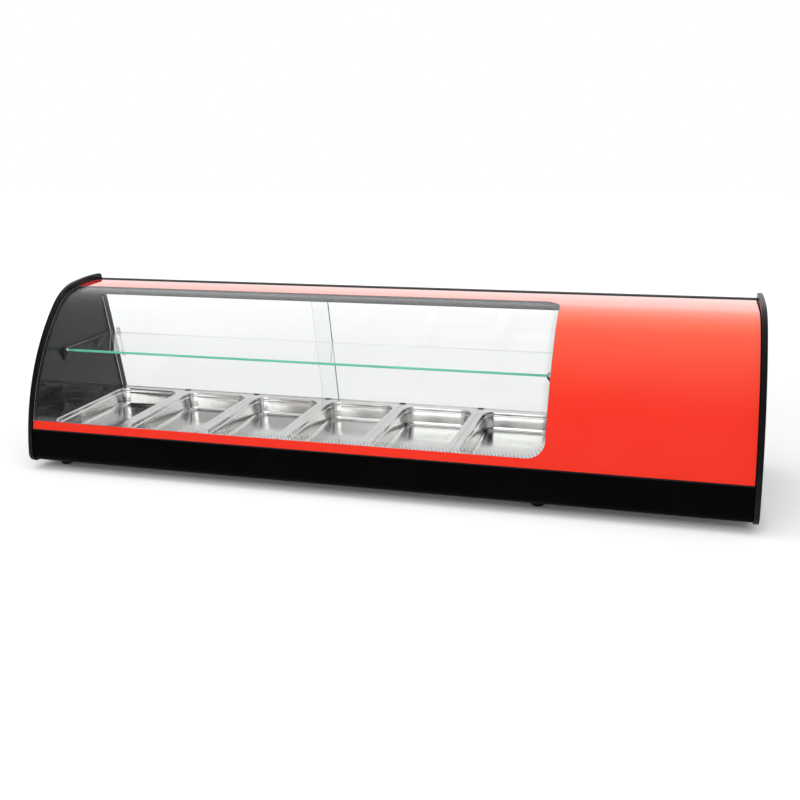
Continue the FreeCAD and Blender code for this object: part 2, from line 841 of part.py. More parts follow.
def fascia_outline(hollow):
    """Bulged front that follows the end panels: a C-section with its flanges turned back, or filled."""
    front = skin_centres(0, 0)[0][0]
    outer, wall = number(fascia_inset), number(fascia_wall)
    toe, bottom, top = number(fascia_toe_radius), number(base_bottom), number(sill_height)
    centre = toe_circle(outer, toe, bottom)
    turn = direction_of(front, centre)
    outer_radius, inner_radius = front_radius - fascia_inset, front_radius - fascia_inset - fascia_wall
    top_angle = 180 - math.degrees(math.asin((top - front[1]) / number(outer_radius)))
    under_angle = 180 - math.degrees(math.asin((top - wall - front[1]) / number(inner_radius)))
    top_edge = polar(front, number(outer_radius), top_angle)
    under_edge = polar(front, number(inner_radius), under_angle)
    back = number(body_front - fit_gap)
    outline = Outline()
    outline.arc(centre, toe, 270, turn, fascia_toe_radius)
    outline.arc(front, number(outer_radius), turn, top_angle, outer_radius)
    if not hollow:
        outline.path([top_edge, (back, top), (back, bottom)])
        outline.close()
        return outline
    outline.path([top_edge, (back, top), (back, top - wall), under_edge])
    outline.arc(front, number(inner_radius), under_angle, turn, inner_radius)
    outline.arc(centre, toe - wall, turn, 270, fascia_toe_radius - fascia_wall)
    outline.path([polar(centre, toe - wall, 270), (back, bottom + wall), (back, bottom)])
    outline.close()
    return outline


base_half = inner_end - fit_gap
fascia = fuse("fascia", extrusion("fascia_skin", fascia_outline(True), -base_half, 2 * base_half),
              extrusion("fascia_left_end", fascia_outline(False), -base_half, fascia_end_plate),
              extrusion("fascia_right_end", fascia_outline(False), base_half - fascia_end_plate,
                        fascia_end_plate))
keep(cut("front_fascia", fascia, *screw_holes("fascia", screw_places[:1])), "front_fascia")


def base_pan_outline():
    """Flat floor with an upturned flange in front and a leaning one behind."""
    back = number(skin_out - fit_gap)
    low, floor_level = number(base_bottom), number(floor_top)
    lip, steel, front = floor_level + number(base_pan_flange), number(sheet_steel), number(body_front)
    outline = Outline()
    outline.path([(front, low), door_plane(low, back), door_plane(lip, back),
                  door_plane(lip, back - steel), door_plane(floor_level, back - steel),
                  (front + steel, floor_level), (front + steel, lip), (front, lip)])
    outline.close()
    return outline


flange_back = leaning_y(skin_out - fit_gap, reach_up(floor_top + base_pan_flange, skin_out - fit_gap))
tray_ends = [box(f"tray_end_{side}", x, body_front, base_bottom, sheet_steel,
                 flange_back - body_front, sheet_steel + base_pan_flange)
             for side, x in (("left", -base_half), ("right", base_half - sheet_steel))]
tray = fuse("tray", extrusion("tray_floor", base_pan_outline(), -base_half, 2 * base_half), *tray_ends)
keep(cut("base_pan", tray, *screw_holes("tray", screw_places[1:2])), "base_pan")
skirt_foot = reach_up(base_bottom, skin_out)
keep(leaning_box("rear_skirt", -base_half, skin_out, skirt_foot, 2 * base_half, sheet_steel,
                 track_foot - skirt_foot - fit_gap), "rear_fascia")

foot_left = foot_end_inset - inner_end
foot_right = partition_face - foot_wall_inset
foot_front = body_front + foot_front_inset
foot_rear = rear_face - foot_rear_inset
foot_places = {"foot_front_left": (foot_left, foot_front), "foot_front_right": (foot_right, foot_front),
               "foot_rear_left": (foot_left, foot_rear), "foot_rear_right": (foot_right, foot_rear)}
for foot_name, (foot_x, foot_y) in foot_places.items():
    foot = doc.addObject("Part::Cone", foot_name)
    bind(foot, x=foot_x, y=foot_y, Radius1=foot_radius - foot_taper, Radius2=foot_radius,
         Height=foot_height)
    keep(foot, foot_name)

# ---------------------------------------------------------------- insulation, well and coil

well_left = pans_left + pan_flange - well_margin - well_wall
well_length = pan_row - 2 * (pan_flange - well_margin - well_wall)
well_front = pan_centre - pan_length / 2 + pan_flange - well_margin - well_wall
well_breadth = pan_length - 2 * (pan_flange - well_margin - well_wall)
coil_bend = (well_breadth - 2 * coil_side_margin) / (2 * (coil_rows - 1))
coil_height = well_floor - well_wall - coil_radius - seal_gap


def foam_outline():
    """Foam block with a leaning rebate behind that carries the lower door track."""
    back = number(skin_out - fit_gap - sheet_steel - seal_gap)
    front = number(body_front + sheet_steel + seal_gap)
    low, top, gap = number(floor_top), number(foam_top), number(fit_gap)
    under_track = track_foot - fit_gap
    rebate = points(*[(leaning_y(out, under_track), leaning_z(out, under_track))
                      for out in (back, -fit_gap)])
    outline = Outline()
    outline.path([(front, low), door_plane(low, back), *rebate, door_plane(top, -gap),
                  (front, top)])
    outline.close()
    return outline


foam = extrusion("foam", foam_outline(), liner_face, partition_face - liner_face - seal_gap)
cavity = box("foam_cavity", well_left - seal_gap, well_front - seal_gap, well_floor - well_wall,
             well_length + 2 * seal_gap, well_breadth + 2 * seal_gap, rim_height)
recess = box("coil_recess", well_left + well_margin, well_front + well_margin,
             coil_height - coil_radius - seal_gap, well_length - 2 * well_margin,
             well_breadth - 2 * well_margin, rim_height)
keep(cut("foam_insulation", foam, cavity, recess), "foam_insulation")

tub = box("well_tub", well_left, well_front, well_floor - well_wall, well_length, well_breadth,
          foam_top - well_floor + 2 * well_wall)
brim = box("well_brim", well_left - well_flange, well_front - well_flange, foam_top,
           well_length + 2 * well_flange, well_breadth + 2 * well_flange, well_wall)
hollow = box("well_hollow", well_left + well_wall, well_front + well_wall, well_floor,
             well_length - 2 * well_wall, well_breadth - 2 * well_wall, rim_height)
keep(cut("cold_well", fuse("well", tub, brim), hollow), "cold_well")


def swept_tube(name, wire, radius):
    """A round tube along a wire of straight runs and tangent arcs."""
    start = wire.Edges[0].valueAt(wire.Edges[0].FirstParameter)
    heading = wire.Edges[0].tangentAt(wire.Edges[0].FirstParameter)
    circle = Part.Wire([Part.makeCircle(radius, start, heading)])
    item = doc.addObject("Part::Feature", name)
    item.Shape = wire.makePipeShell([circle], True, False)
    if item.Shape.Volume < 0:
        item.Shape = item.Shape.reversed()
    return item


def coil_wire():
    """Straight rows along the well joined by half-circle bends."""
    bend, height = number(coil_bend), number(coil_height)
    near = number(well_left + coil_end_margin)
    far = number(well_left + well_length - coil_end_margin)
    y = number(well_front + coil_side_margin)
    edges = []
    for row in range(coil_rows):
        start, finish = (near, far) if row % 2 == 0 else (far, near)
        edges.append(Part.makeLine(V(start, y, height), V(finish, y, height)))
        if row < coil_rows - 1:
            bulge = bend if row % 2 == 0 else -bend
            edges.append(Part.Arc(V(finish, y, height), V(finish + bulge, y + bend, height),
                                  V(finish, y + 2 * bend, height)).toShape())
        y += 2 * bend
    return Part.Wire(edges)


keep(swept_tube("coil", coil_wire(), number(coil_radius)), "evaporator_coil")

# ---------------------------------------------------------------- pan frame, bars, clips and pans

frame_left = liner_face + fit_gap / 2
frame_length = partition_face - liner_face - fit_gap
frame_front = front_arc_y(glass_inside, rim_height) + frame_front_gap
frame_back = door_front - fit_gap
opening_left = pans_left + frame_lip
opening_length = pan_row - 2 * frame_lip
opening_front = pan_centre - pan_length / 2 + frame_lip
opening_breadth = pan_length - 2 * frame_lip

frame_plate = box("frame_plate", frame_left, frame_front, frame_bottom,
                  frame_length, frame_back - frame_front, frame_sheet)
frame_apron = box("frame_apron", frame_left, frame_front, sill_height + seal_gap,
                  frame_length, frame_sheet, frame_bottom - sill_height - seal_gap)
frame_opening = box("frame_opening", opening_left, opening_front, base_bottom,
                    opening_length, opening_breadth, rim_height)
keep(cut("pan_frame", fuse("frame", frame_plate, frame_apron), frame_opening), "pan_frame")

bars, clips = [], []
for index in range(1, pan_count):
    joint_x = pans_left + index * pan_pitch
    bar_left = joint_x - support_bar_width / 2
    web = box(f"bar_web_{index}", bar_left, well_front + well_wall + fit_gap,
              frame_top - support_bar_height, support_bar_width,
              well_breadth - 2 * (well_wall + fit_gap), support_bar_height)
    tongue = box(f"bar_tongue_{index}", bar_left, opening_front, frame_bottom, support_bar_width,
                 opening_breadth, frame_sheet)
    bars.append(fuse(f"bar_{index}", web, tongue))
    clips.append(box(f"clip_{index}", joint_x - clip_width / 2, frame_back - clip_depth, frame_top,
                     clip_width, clip_depth, clip_height))
keep(group("bars", *bars), "pan_support_bars")
keep(group("clips", *clips), "pan_clips")


def pan_section(body, name, depth, inset):
    """A rounded rectangle of the tub at a depth below the rim."""
    sketch = sketch_on(body, "XY_Plane", name)
    sketch.setExpression("AttachmentOffset.Base.z", f"0 - {measure(depth).text}")
    sketch.AttachmentOffset = FreeCAD.Placement(V(0, 0, -number(depth)), FreeCAD.Rotation())
    width = pan_width - 2 * (pan_flange + inset)
    length = pan_length - 2 * (pan_flange + inset)
    rounded_rectangle(sketch, width, length, pan_corner - inset)
    return sketch


def make_pan(index):
    """A pan: flat rim with rounded corners and a tapered tub lofted below it."""
    name = f"pan_{index + 1}"
    body = doc.addObject("PartDesign::Body", name)
    rim = sketch_on(body, "XY_Plane", f"{name}_rim")
    rim.setExpression("AttachmentOffset.Base.z", f"0 - {pan_wall.text}")
    rim.AttachmentOffset = FreeCAD.Placement(V(0, 0, -number(pan_wall)), FreeCAD.Rotation())
    rounded_rectangle(rim, pan_width, pan_length, pan_rim_corner)
    pad(body, rim, pan_wall, f"{name}_rim_pad")
    shell = body.newObject("PartDesign::AdditiveLoft", f"{name}_tub")
    shell.Profile = pan_section(body, f"{name}_tub_top", pan_wall, -pan_wall)
    shell.Sections = [pan_section(body, f"{name}_tub_foot", pan_depth, pan_taper - pan_wall)]
    inside = body.newObject("PartDesign::SubtractiveLoft", f"{name}_inside")
    inside.Profile = pan_section(body, f"{name}_mouth", 0, 0)
    inside.Sections = [pan_section(body, f"{name}_floor", pan_depth - pan_wall, pan_taper)]
    bind(body, x=pans_left + (index + 0.5) * pan_pitch, y=pan_centre, z=rim_height)
    return keep(body, name)


for pan_index in range(pan_count):
    make_pan(pan_index)

# ---------------------------------------------------------------- shelf and lamp

shelf_front = front_face + shelf_set_back
shelf_left = liner_face + rail_sheet + fit_gap
shelf_width = partition_face - rail_sheet - fit_gap - shelf_left
shelf_back = leaning_y(0, reach_up(shelf_height + shelf_thickness, 0)) - shelf_back_gap
shelf_length = shelf_back - shelf_front

shelf = doc.addObject("PartDesign::Body", "shelf")
shelf_sketch = sketch_on(shelf, "XY_Plane", "shelf_outline")
rounded_rectangle(shelf_sketch, shelf_width, shelf_length, shelf_corner)
pad(shelf, shelf_sketch, shelf_thickness, "shelf_pad")
bind(shelf, x=shelf_left + shelf_width / 2, y=shelf_front + shelf_length / 2, z=shelf_height)
keep(shelf, "shelf_glass")

rail_rise = shelf_thickness + rail_sheet + rail_above
rail_length = shelf_length - rail_back_gap
bracket_starts = (shelf_front, shelf_back - bracket_set_in - bracket_length)


def bracket(name, wall, point, foot, start):
    """A wedge under a ledge: it reaches furthest under the glass and narrows down its wall."""
    body = doc.addObject("PartDesign::Body", name)
    sketch = sketch_on(body, "XZ_Plane", f"{name}_outline")
    low = shelf_height - bracket_depth
    outline = Outline()
    outline.path(points((wall, shelf_height), (point, shelf_height), (foot, low), (wall, low)))
    outline.close()
    outline.draw(sketch)
    pad(body, sketch, bracket_length, f"{name}_pad")
    return bind(body, y=start + bracket_length)


def shelf_rail(name, wall_x, ledge_x, wall, way):
    """An angle strip on an inner wall: an upright leg, a ledge under the glass and two brackets."""
    low = shelf_height - rail_sheet
    leg = box(f"{name}_leg", wall_x, shelf_front, low, rail_sheet, rail_length, rail_rise)
    ledge = box(f"{name}_ledge", ledge_x, shelf_front, low, rail_ledge, rail_length, rail_sheet)
    point, foot = wall + way * bracket_reach, wall + way * bracket_foot
    brackets = [bracket(f"{name}_bracket_{index}", wall, point, foot, start)
                for index, start in enumerate(bracket_starts)]
    return fuse(name, leg, ledge, *brackets)


keep(group("rails", shelf_rail("left_rail", liner_face, liner_face, liner_face, 1),
           shelf_rail("right_rail", partition_face - rail_sheet, partition_face - rail_ledge,
                      partition_face, -1)),
     "shelf_rails")

lamp_front = glass_rear_edge - lamp_reach
lamp_left = liner_face + fit_gap
lamp_length = partition_face - fit_gap - lamp_left


def lamp_outline():
    """A channel open downwards."""
    front, back = number(lamp_front), number(lamp_front + lamp_depth)
    low, high, wall = number(lamp_bottom), number(lamp_bottom + lamp_height), number(lamp_wall)
    outline = Outline()
    outline.path([(front, low), (front, high), (back, high), (back, low), (back - wall, low),
                  (back - wall, high - wall), (front + wall, high - wall), (front + wall, low)])
    outline.close()
    return outline


keep(extrusion("lamp_channel", lamp_outline(), lamp_left, lamp_length), "lamp_housing")
lamp_inside = lamp_depth - 2 * lamp_wall
keep(box("led_strip", lamp_left, lamp_front + lamp_wall,
         lamp_bottom + lamp_height - lamp_wall - led_board_thickness, lamp_length, lamp_inside,
         led_board_thickness), "led_board")
keep(box("diffuser", lamp_left, lamp_front + lamp_wall, lamp_bottom, lamp_length, lamp_inside,
         diffuser_thickness), "lamp_diffuser")

# ---------------------------------------------------------------- door tracks, jambs, doors and grips


def track_outline(height, turned):
    """A comb with two grooves, open upwards, or turned over to open downwards."""
    wall, groove = number(track_wall), number(track_groove)
    tall = -number(height) if turned else number(height)
    floor_level = -wall if turned else wall
    outline = [(0, 0)]
    out = 3 * wall + 2 * groove
    outline += [(out, 0), (out, tall), (out - wall, tall), (out - wall, floor_level)]
    outline += [(wall + groove + wall, floor_level), (wall + groove + wall, tall)]
    outline += [(wall + groove, tall), (wall + groove, floor_level), (wall, floor_level)]
    outline += [(wall, tall), (0, tall)]
    comb = Outline()
    comb.path(outline)
    comb.close()
    return comb


track_left = fit_gap - inner_end
lower_track = extrusion("lower_track", track_outline(lower_track_height, False), 0,
                        partition_face - track_left)
keep(lean(lower_track, track_left, 0, track_foot), "door_lower_track")
upper_track = extrusion("upper_track", track_outline(upper_track_height, True), 0,
                        partition_face - liner_face)
keep(lean(upper_track, liner_face, 0, track_top), "door_upper_track")

doors_left = liner_face + seal_gap
doors_right = partition_face - track_wall - fit_gap
door_width = (doors_right - doors_left + door_overlap) / 2
door_foot = track_foot + track_wall + seal_gap
door_height = track_top - upper_track_height / 2 - door_foot
left_door_out = track_wall + door_play
right_door_out = left_door_out + track_wall + track_groove

jamb_foot = track_foot + lower_track_height
jamb_top = track_top - upper_track_height
jamb_left = partition_face - jamb_width
jamb = leaning_box("right_jamb", jamb_left, 0, jamb_foot, jamb_width, track_depth,
                   jamb_top - jamb_foot)
jamb_grooves = [leaning_box(f"jamb_groove_{index}", jamb_left - track_wall,
                            track_wall + index * (track_wall + track_groove), jamb_foot,
                            jamb_width, track_groove, jamb_top - jamb_foot) for index in (0, 1)]
# the inner door closes behind a slim stop on the side wall, above the pans' frame
stop_foot = reach_up(rim_height, -stop_reach)
stop = leaning_box("left_stop", liner_face, -stop_reach, stop_foot, stop_proud,
                   stop_reach + left_door_out - seal_gap, jamb_top - stop_foot)
keep(group("jambs", stop, cut("right_jamb_channel", jamb, *jamb_grooves)), "door_jambs")
keep(leaning_box("left_pane", doors_left, left_door_out, door_foot, door_width, door_thickness,
                 door_height), "left_door")
keep(leaning_box("right_pane", doors_right - door_width, right_door_out, door_foot, door_width,
                 door_thickness, door_height), "right_door")


def door_grip(label, start, out, depth):
    """A finger block bonded to the back of a pane at half height."""
    low = door_foot + (door_height - grip_height) / 2
    keep(leaning_box(f"{label}_block", start, out, low, grip_width, depth, grip_height), label)


# the inner door's grip is a low strip, so that the outer door slides past it
inner_grip_depth = right_door_out - left_door_out - door_thickness - 2 * fit_gap
door_grip("left_door_grip", doors_left + grip_inset, left_door_out + door_thickness, inner_grip_depth)
door_grip("right_door_grip", doors_right - grip_inset - grip_width, right_door_out + door_thickness,
          grip_depth)

# ---------------------------------------------------------------- machine compartment

condenser_left = partition_back + condenser_gap
condenser_front = rear_face - condenser_set_in
fan_x = condenser_left + condenser_width / 2
condenser_low = floor_top + condenser_lift
fan_z = condenser_low + condenser_height / 2
fin_pitch = (condenser_width - 2 * condenser_frame + fin_thickness) / fin_count
fin_block = box("fin_block", condenser_left, condenser_front, condenser_low, condenser_width,
                condenser_depth, condenser_height)
fin_slots = [box(f"fin_slot_{index}", condenser_left + condenser_frame + index * fin_pitch,
                 condenser_front - fit_gap, condenser_low + condenser_frame,
                 fin_pitch - fin_thickness, condenser_depth - coil_radius,
                 condenser_height - 2 * condenser_frame)
             for index in range(fin_count)]
condenser_feet = [box(f"condenser_foot_{index}", x,
                      condenser_front + (condenser_depth - condenser_foot_depth) / 2, floor_top,
                      condenser_foot_width, condenser_foot_depth, condenser_lift)
                  for index, x in enumerate((condenser_left, condenser_left + condenser_width
                                             - condenser_foot_width))]
keep(cut("condenser", fuse("condenser_block", fin_block, *condenser_feet), fuse("slots", *fin_slots)),
     "condenser")

shroud_front = condenser_front - shroud_depth
shroud_plate = box("shroud_plate", condenser_left, condenser_front - shroud_wall, condenser_low,
                   condenser_width, shroud_wall, condenser_height)
shroud_ring = cylinder("shroud_ring", "Y", fan_x, shroud_front, fan_z,
                       fan_radius + fan_tip_gap + shroud_wall, shroud_depth)
shroud_bore = cylinder("shroud_bore", "Y", fan_x, shroud_front - fit_gap, fan_z,
                       fan_radius + fan_tip_gap, shroud_depth + 2 * fit_gap)
keep(cut("shroud", fuse("shroud_body", shroud_plate, shroud_ring), shroud_bore), "fan_shroud")

fan_front = condenser_front - shroud_wall - fit_gap - fan_depth


def blade_section(radius, pitch):
    """A flat blade section at a radius, turned about the radial line by its pitch."""
    turn, thick = math.radians(number(pitch)), number(blade_thickness) / 2
    half = (number(fan_depth / 2 - blade_end_margin)) / math.sin(turn)
    along = (half * math.cos(turn), half * math.sin(turn))
    across = (-thick * math.sin(turn), thick * math.cos(turn))
    signs = [(-1, -1), (1, -1), (1, 1), (-1, 1)]
    corners = [V(a * along[0] + b * across[0], a * along[1] + b * across[1], radius)
               for a, b in signs]
    return Part.makePolygon(corners + corners[:1])


def fan_shape():
    """Hub with a shaft bore and five twisted blades, about the Y axis."""
    hub_radius, depth = number(fan_hub_radius), number(fan_depth)
    hub = Part.makeCylinder(hub_radius, depth, V(0, -depth / 2, 0), V(0, 1, 0))
    inner_end_section = blade_section(number(fan_hub_radius - blade_root_sink), blade_root_pitch)
    outer_end_section = blade_section(number(fan_radius - fan_tip_gap), blade_tip_pitch)
    blade = Part.makeLoft([inner_end_section, outer_end_section], True)
    blades = []
    for index in range(blade_count):
        turned = blade.copy()
        turned.rotate(V(), V(0, 1, 0), index * 360 / blade_count)
        blades.append(turned)
    solid = hub.multiFuse(blades)
    bore = Part.makeCylinder(number(motor_shaft_radius) + number(hinge_pin_clearance), depth,
                             V(0, -depth / 2, 0), V(0, 1, 0))
    return solid.cut(bore)


fan = doc.addObject("Part::Feature", "fan")
fan.Shape = fan_shape()
bind(fan, x=fan_x, y=fan_front + fan_depth / 2, z=fan_z)
keep(fan, "fan_blades")

motor_back = fan_front - 2 * fit_gap
motor_can = cylinder("motor_can", "Y", fan_x, motor_back - motor_length, fan_z, motor_radius,
                     motor_length)
motor_shaft = cylinder("motor_shaft", "Y", fan_x, motor_back - fit_gap, fan_z, motor_shaft_radius,
                       fan_depth + 2 * fit_gap)
motor_foot = box("motor_foot", fan_x - motor_radius, motor_back - motor_length, floor_top,
                 2 * motor_radius, shroud_wall, fan_z - floor_top)
keep(fuse("motor", motor_can, motor_shaft, motor_foot), "fan_motor")

compressor_x = inner_end - compressor_inset
compressor_y = body_front + compressor_set_back
compressor_foot = floor_top + mount_height + mount_plate


def compressor_outline():
    """Half of a welded shell: domed foot, straight wall with a seam flange, domed top."""
    radius, tall = number(compressor_radius), number(compressor_height)
    dome, seam, seam_out = number(compressor_dome), number(seam_height), number(seam_flange)
    outline = Outline()
    sphere = (radius ** 2 + dome ** 2) / (2 * dome)
    spread = math.degrees(math.asin(radius / sphere))
    outline.path([(0, tall), (0, 0)])
    outline.arc((0, sphere), sphere, -90, -90 + spread)
    outline.path([(radius, dome), (radius, seam), (radius + seam_out, seam),
                  (radius + seam_out, seam + seam_out), (radius, seam + seam_out),
                  (radius, tall - dome)])
    outline.arc((0, tall - sphere), sphere, 90 - spread, 90)
    return outline


compressor = doc.addObject("PartDesign::Body", "compressor_body")
compressor_sketch = sketch_on(compressor, "XZ_Plane", "compressor_outline")
compressor_outline().draw(compressor_sketch)
shell = compressor.newObject("PartDesign::Revolution", "compressor_shell")
shell.Profile = compressor_sketch
shell.ReferenceAxis = (compressor_sketch, ["V_Axis"])
shell.Angle = 360
bind(compressor, x=compressor_x, y=compressor_y, z=compressor_foot)
keep(compressor, "compressor")

grommets = [cylinder(f"grommet_{index}", "Z", compressor_x + side * (mount_reach - grommet_radius),
                     compressor_y + end * (mount_reach - grommet_radius), floor_top,
                     grommet_radius, mount_height)
            for index, (side, end) in enumerate(((-1, -1), (1, -1), (1, 1), (-1, 1)))]
mount_bar = box("mount_bar", compressor_x - mount_reach, compressor_y - mount_reach,
                floor_top + mount_height, 2 * mount_reach, 2 * mount_reach, mount_plate)
keep(group("mounts", mount_bar, *grommets), "compressor_mounts")

drier_x = compressor_x - drier_offset
drier_y = compressor_y - compressor_radius - drier_gap - drier_radius
drier_low = floor_top + drier_lift
drier_clip = box("drier_clip", drier_x - drier_radius / 2, drier_y + drier_radius - 2 * sheet_steel,
                 floor_top, drier_radius, 2 * sheet_steel, drier_lift + drier_radius)
drier_can = cylinder("drier_can", "Z", drier_x, drier_y, drier_low, drier_radius, drier_length)
drier_cap = doc.addObject("Part::Cone", "drier_cap")
bind(drier_cap, x=drier_x, y=drier_y, z=drier_low + drier_length, Radius1=drier_radius,
     Radius2=pipe_radius, Height=drier_radius)
keep(fuse("drier", drier_clip, drier_can, drier_cap), "filter_drier")


def routed_wire(corners, bend):
    """Straight runs through the corners with a tangent arc of one radius at each."""
    edges, start = [], corners[0]
    for before, corner, after in zip(corners, corners[1:], corners[2:]):
        incoming, outgoing = (before - corner).normalize(), (after - corner).normalize()
        half_angle = incoming.getAngle(outgoing) / 2
        setback = bend / math.tan(half_angle)
        first, last = corner + incoming * setback, corner + outgoing * setback
        middle_line = (incoming + outgoing).normalize()
        centre = corner + middle_line * (bend / math.sin(half_angle))
        edges.append(Part.makeLine(start, first))
        edges.append(Part.Arc(first, centre - middle_line * bend, last).toShape())
        start = last
    edges.append(Part.makeLine(start, corners[-1]))
    return Part.Wire(edges)


def pipe(name, *corners):
    nodes = [V(*(number(value) for value in corner)) for corner in corners]
    return swept_tube(name, routed_wire(nodes, number(pipe_bend)), number(pipe_radius))


shell_side = compressor_foot + shell_port
shell_top = compressor_foot + compressor_height
pipe_lift = shell_top + pipe_clearance
condenser_right = condenser_left + condenser_width
condenser_middle = condenser_front + condenser_depth / 2
discharge_x = condenser_right + pipe_side_run
discharge = pipe("discharge", (condenser_right, condenser_middle, shell_side),
                 (discharge_x, condenser_middle, shell_side), (discharge_x, condenser_middle, pipe_lift),
                 (compressor_x, condenser_middle, pipe_lift), (compressor_x, compressor_y, pipe_lift),
                 (compressor_x, compressor_y, shell_top))
outlet_x = condenser_left - pipe_clearance
outlet_z = condenser_low + outlet_port
outlet = pipe("outlet", (condenser_left, condenser_middle, outlet_z),
              (outlet_x, condenser_middle, outlet_z), (outlet_x, drier_y, outlet_z),
              (drier_x, drier_y, outlet_z), (drier_x, drier_y, drier_low))
drier_top = drier_low + drier_length + drier_radius
liquid = pipe("liquid", (drier_x, drier_y, drier_top), (drier_x, drier_y, drier_top + liquid_rise),
              (partition_back, drier_y, drier_top + liquid_rise))
suction_y = compressor_y - compressor_radius - pipe_clearance
suction = pipe("suction", (compressor_x, compressor_y - compressor_radius, shell_side),
               (compressor_x, suction_y, shell_side), (partition_back, suction_y, shell_side))
keep(group("lines", discharge, outlet, liquid, suction), "refrigerant_lines")

# ---------------------------------------------------------------- rear machine cover and controls

cover_left = partition_face + fit_gap
louvre_left = condenser_left - louvre_margin
cover_foot = track_foot + seal_gap
cover_height = track_top - seal_gap - cover_foot
cover_plate = leaning_box("cover_plate", cover_left, skin_out, cover_foot,
                          inner_end - fit_gap - cover_left, sheet_steel, cover_height)
louvres = [leaning_box(f"louvre_{index}", louvre_left, skin_out - fit_gap,
                       louvre_start + index * louvre_pitch, louvre_length,
                       sheet_steel + 2 * fit_gap, louvre_height) for index in range(louvre_count)]
body_width = controller_width - 2 * controller_bezel
body_height = controller_height - 2 * controller_bezel
controller_left = partition_back + controller_gap
switch_left = controller_left + controller_width + switch_gap
gland_x = inner_end - gland_inset
body_left = controller_left + controller_bezel
body_low = control_line + controller_bezel
controller_hole = leaning_box("controller_hole", body_left - fit_gap, 0, body_low - fit_gap,
                              body_width + 2 * fit_gap, 2 * track_depth, body_height + 2 * fit_gap)
switch_left_edges = [switch_left + index * switch_pitch for index in (0, 1)]
switch_holes = [leaning_box(f"switch_hole_{index}", left - fit_gap, 0, control_line - fit_gap,
                            switch_width + 2 * fit_gap, 2 * track_depth,
                            switch_height + 2 * fit_gap)
                for index, left in enumerate(switch_left_edges)]
gland_hole = leaning_cylinder("gland_hole", gland_x, 0, gland_line,
                              gland_thread_radius + seal_gap, 2 * track_depth)
keep(cut("cover", cover_plate, fuse("cover_openings", *louvres, controller_hole, *switch_holes,
                                    gland_hole)), "machine_cover")

bezel_out = track_depth
face_out = bezel_out + controller_bezel
key_names = ("key_set", "key_up", "key_down")
key_left = body_left + body_width - 2 * key_width - controller_bezel
key_spots = {"key_set": (body_left + controller_bezel, body_low),
             "key_up": (key_left + key_width, body_low + body_height - key_height),
             "key_down": (key_left + key_width, body_low)}
controller_box = leaning_box("controller_box", body_left, face_out - controller_depth, body_low,
                             body_width, controller_depth - fit_gap, body_height)
controller_frame = leaning_box("controller_frame", controller_left, bezel_out, control_line,
                               controller_width, controller_bezel, controller_height)
key_wells = []
for key_name, (key_x, key_low) in key_spots.items():
    key_wells.append(leaning_box(f"{key_name}_well", key_x - key_clearance,
                                 face_out - key_depth - key_travel - key_clearance,
                                 key_low - key_clearance, key_width + 2 * key_clearance,
                                 key_depth + 2 * key_travel + key_proud,
                                 key_height + 2 * key_clearance))
    keep(leaning_box(f"{key_name}_cap", key_x, face_out - key_depth, key_low, key_width,
                     key_depth + key_proud, key_height), key_name)
keep(cut("controller", fuse("controller_body", controller_box, controller_frame),
         fuse("key_wells", *key_wells)), "controller_housing")


def switch_body(name, left):
    """A snap-in switch body with a bezel, open behind for its rocker."""
    frame = leaning_box(f"{name}_frame", left - switch_bezel, bezel_out, control_line - switch_bezel,
                        switch_width + 2 * switch_bezel, switch_bezel,
                        switch_height + 2 * switch_bezel)
    case = leaning_box(f"{name}_case", left, bezel_out + switch_bezel - switch_depth, control_line,
                       switch_width, switch_depth - fit_gap, switch_height)
    well = leaning_box(f"{name}_well", left + switch_wall, bezel_out + switch_bezel - switch_well,
                       control_line + switch_wall, switch_width - 2 * switch_wall, 2 * switch_well,
                       switch_height - 2 * switch_wall)
    return cut(name, fuse(f"{name}_body", frame, case), well)


keep(group("switches", *[switch_body(f"switch_{index}", left)
                         for index, left in enumerate(switch_left_edges)]), "switch_housings")

rocker_half = switch_height / 2 - switch_wall - rocker_end_gap - rocker_clearance
rocker_width = switch_width - 2 * (switch_wall + rocker_clearance)
rocker_out = bezel_out + switch_bezel - rocker_clearance
rocker_middle = control_line + switch_height / 2


def rocker_outline():
    """A shallow V on a round hub about the pivot, turned to its resting tilt."""
    half, crest, low = number(rocker_half), number(rocker_crest), -number(rocker_skirt)
    hub, tilt = number(rocker_hub), number(rocker_tilt)
    hub_angle = math.degrees(math.acos(low / hub))
    outline = Outline()
    outline.arc((0, 0), hub, 360 - hub_angle + tilt, hub_angle + tilt, rocker_hub)
    corners = [(low, half), (crest, half), (number(rocker_valley), 0), (crest, -half), (low, -half)]
    turned = [polar((0, 0), math.hypot(y, z), math.degrees(math.atan2(z, y)) + tilt)
              for y, z in corners]
    outline.path([outline.ends(outline.pieces[0])[1], *turned])
    outline.close()
    return outline


for rocker_name, left in zip(("power_rocker", "light_rocker"), switch_left_edges):
    rocker = extrusion(f"{rocker_name}_body", rocker_outline(), 0, rocker_width)
    keep(lean(rocker, left + (switch_width - rocker_width) / 2, rocker_out, rocker_middle),
         rocker_name)

gland_collar = leaning_cylinder("gland_collar", gland_x, track_depth, gland_line, gland_radius,
                                gland_collar_length)
gland_thread = leaning_cylinder("gland_thread", gland_x, track_depth + gland_collar_length
                                - gland_length, gland_line, gland_thread_radius, gland_length)
gland_hollow = leaning_cylinder("gland_hollow", gland_x, 0, gland_line, gland_bore, 3 * track_depth)
keep(cut("gland", fuse("gland_body", gland_collar, gland_thread), gland_hollow), "power_inlet_gland")

# ---------------------------------------------------------------- screws


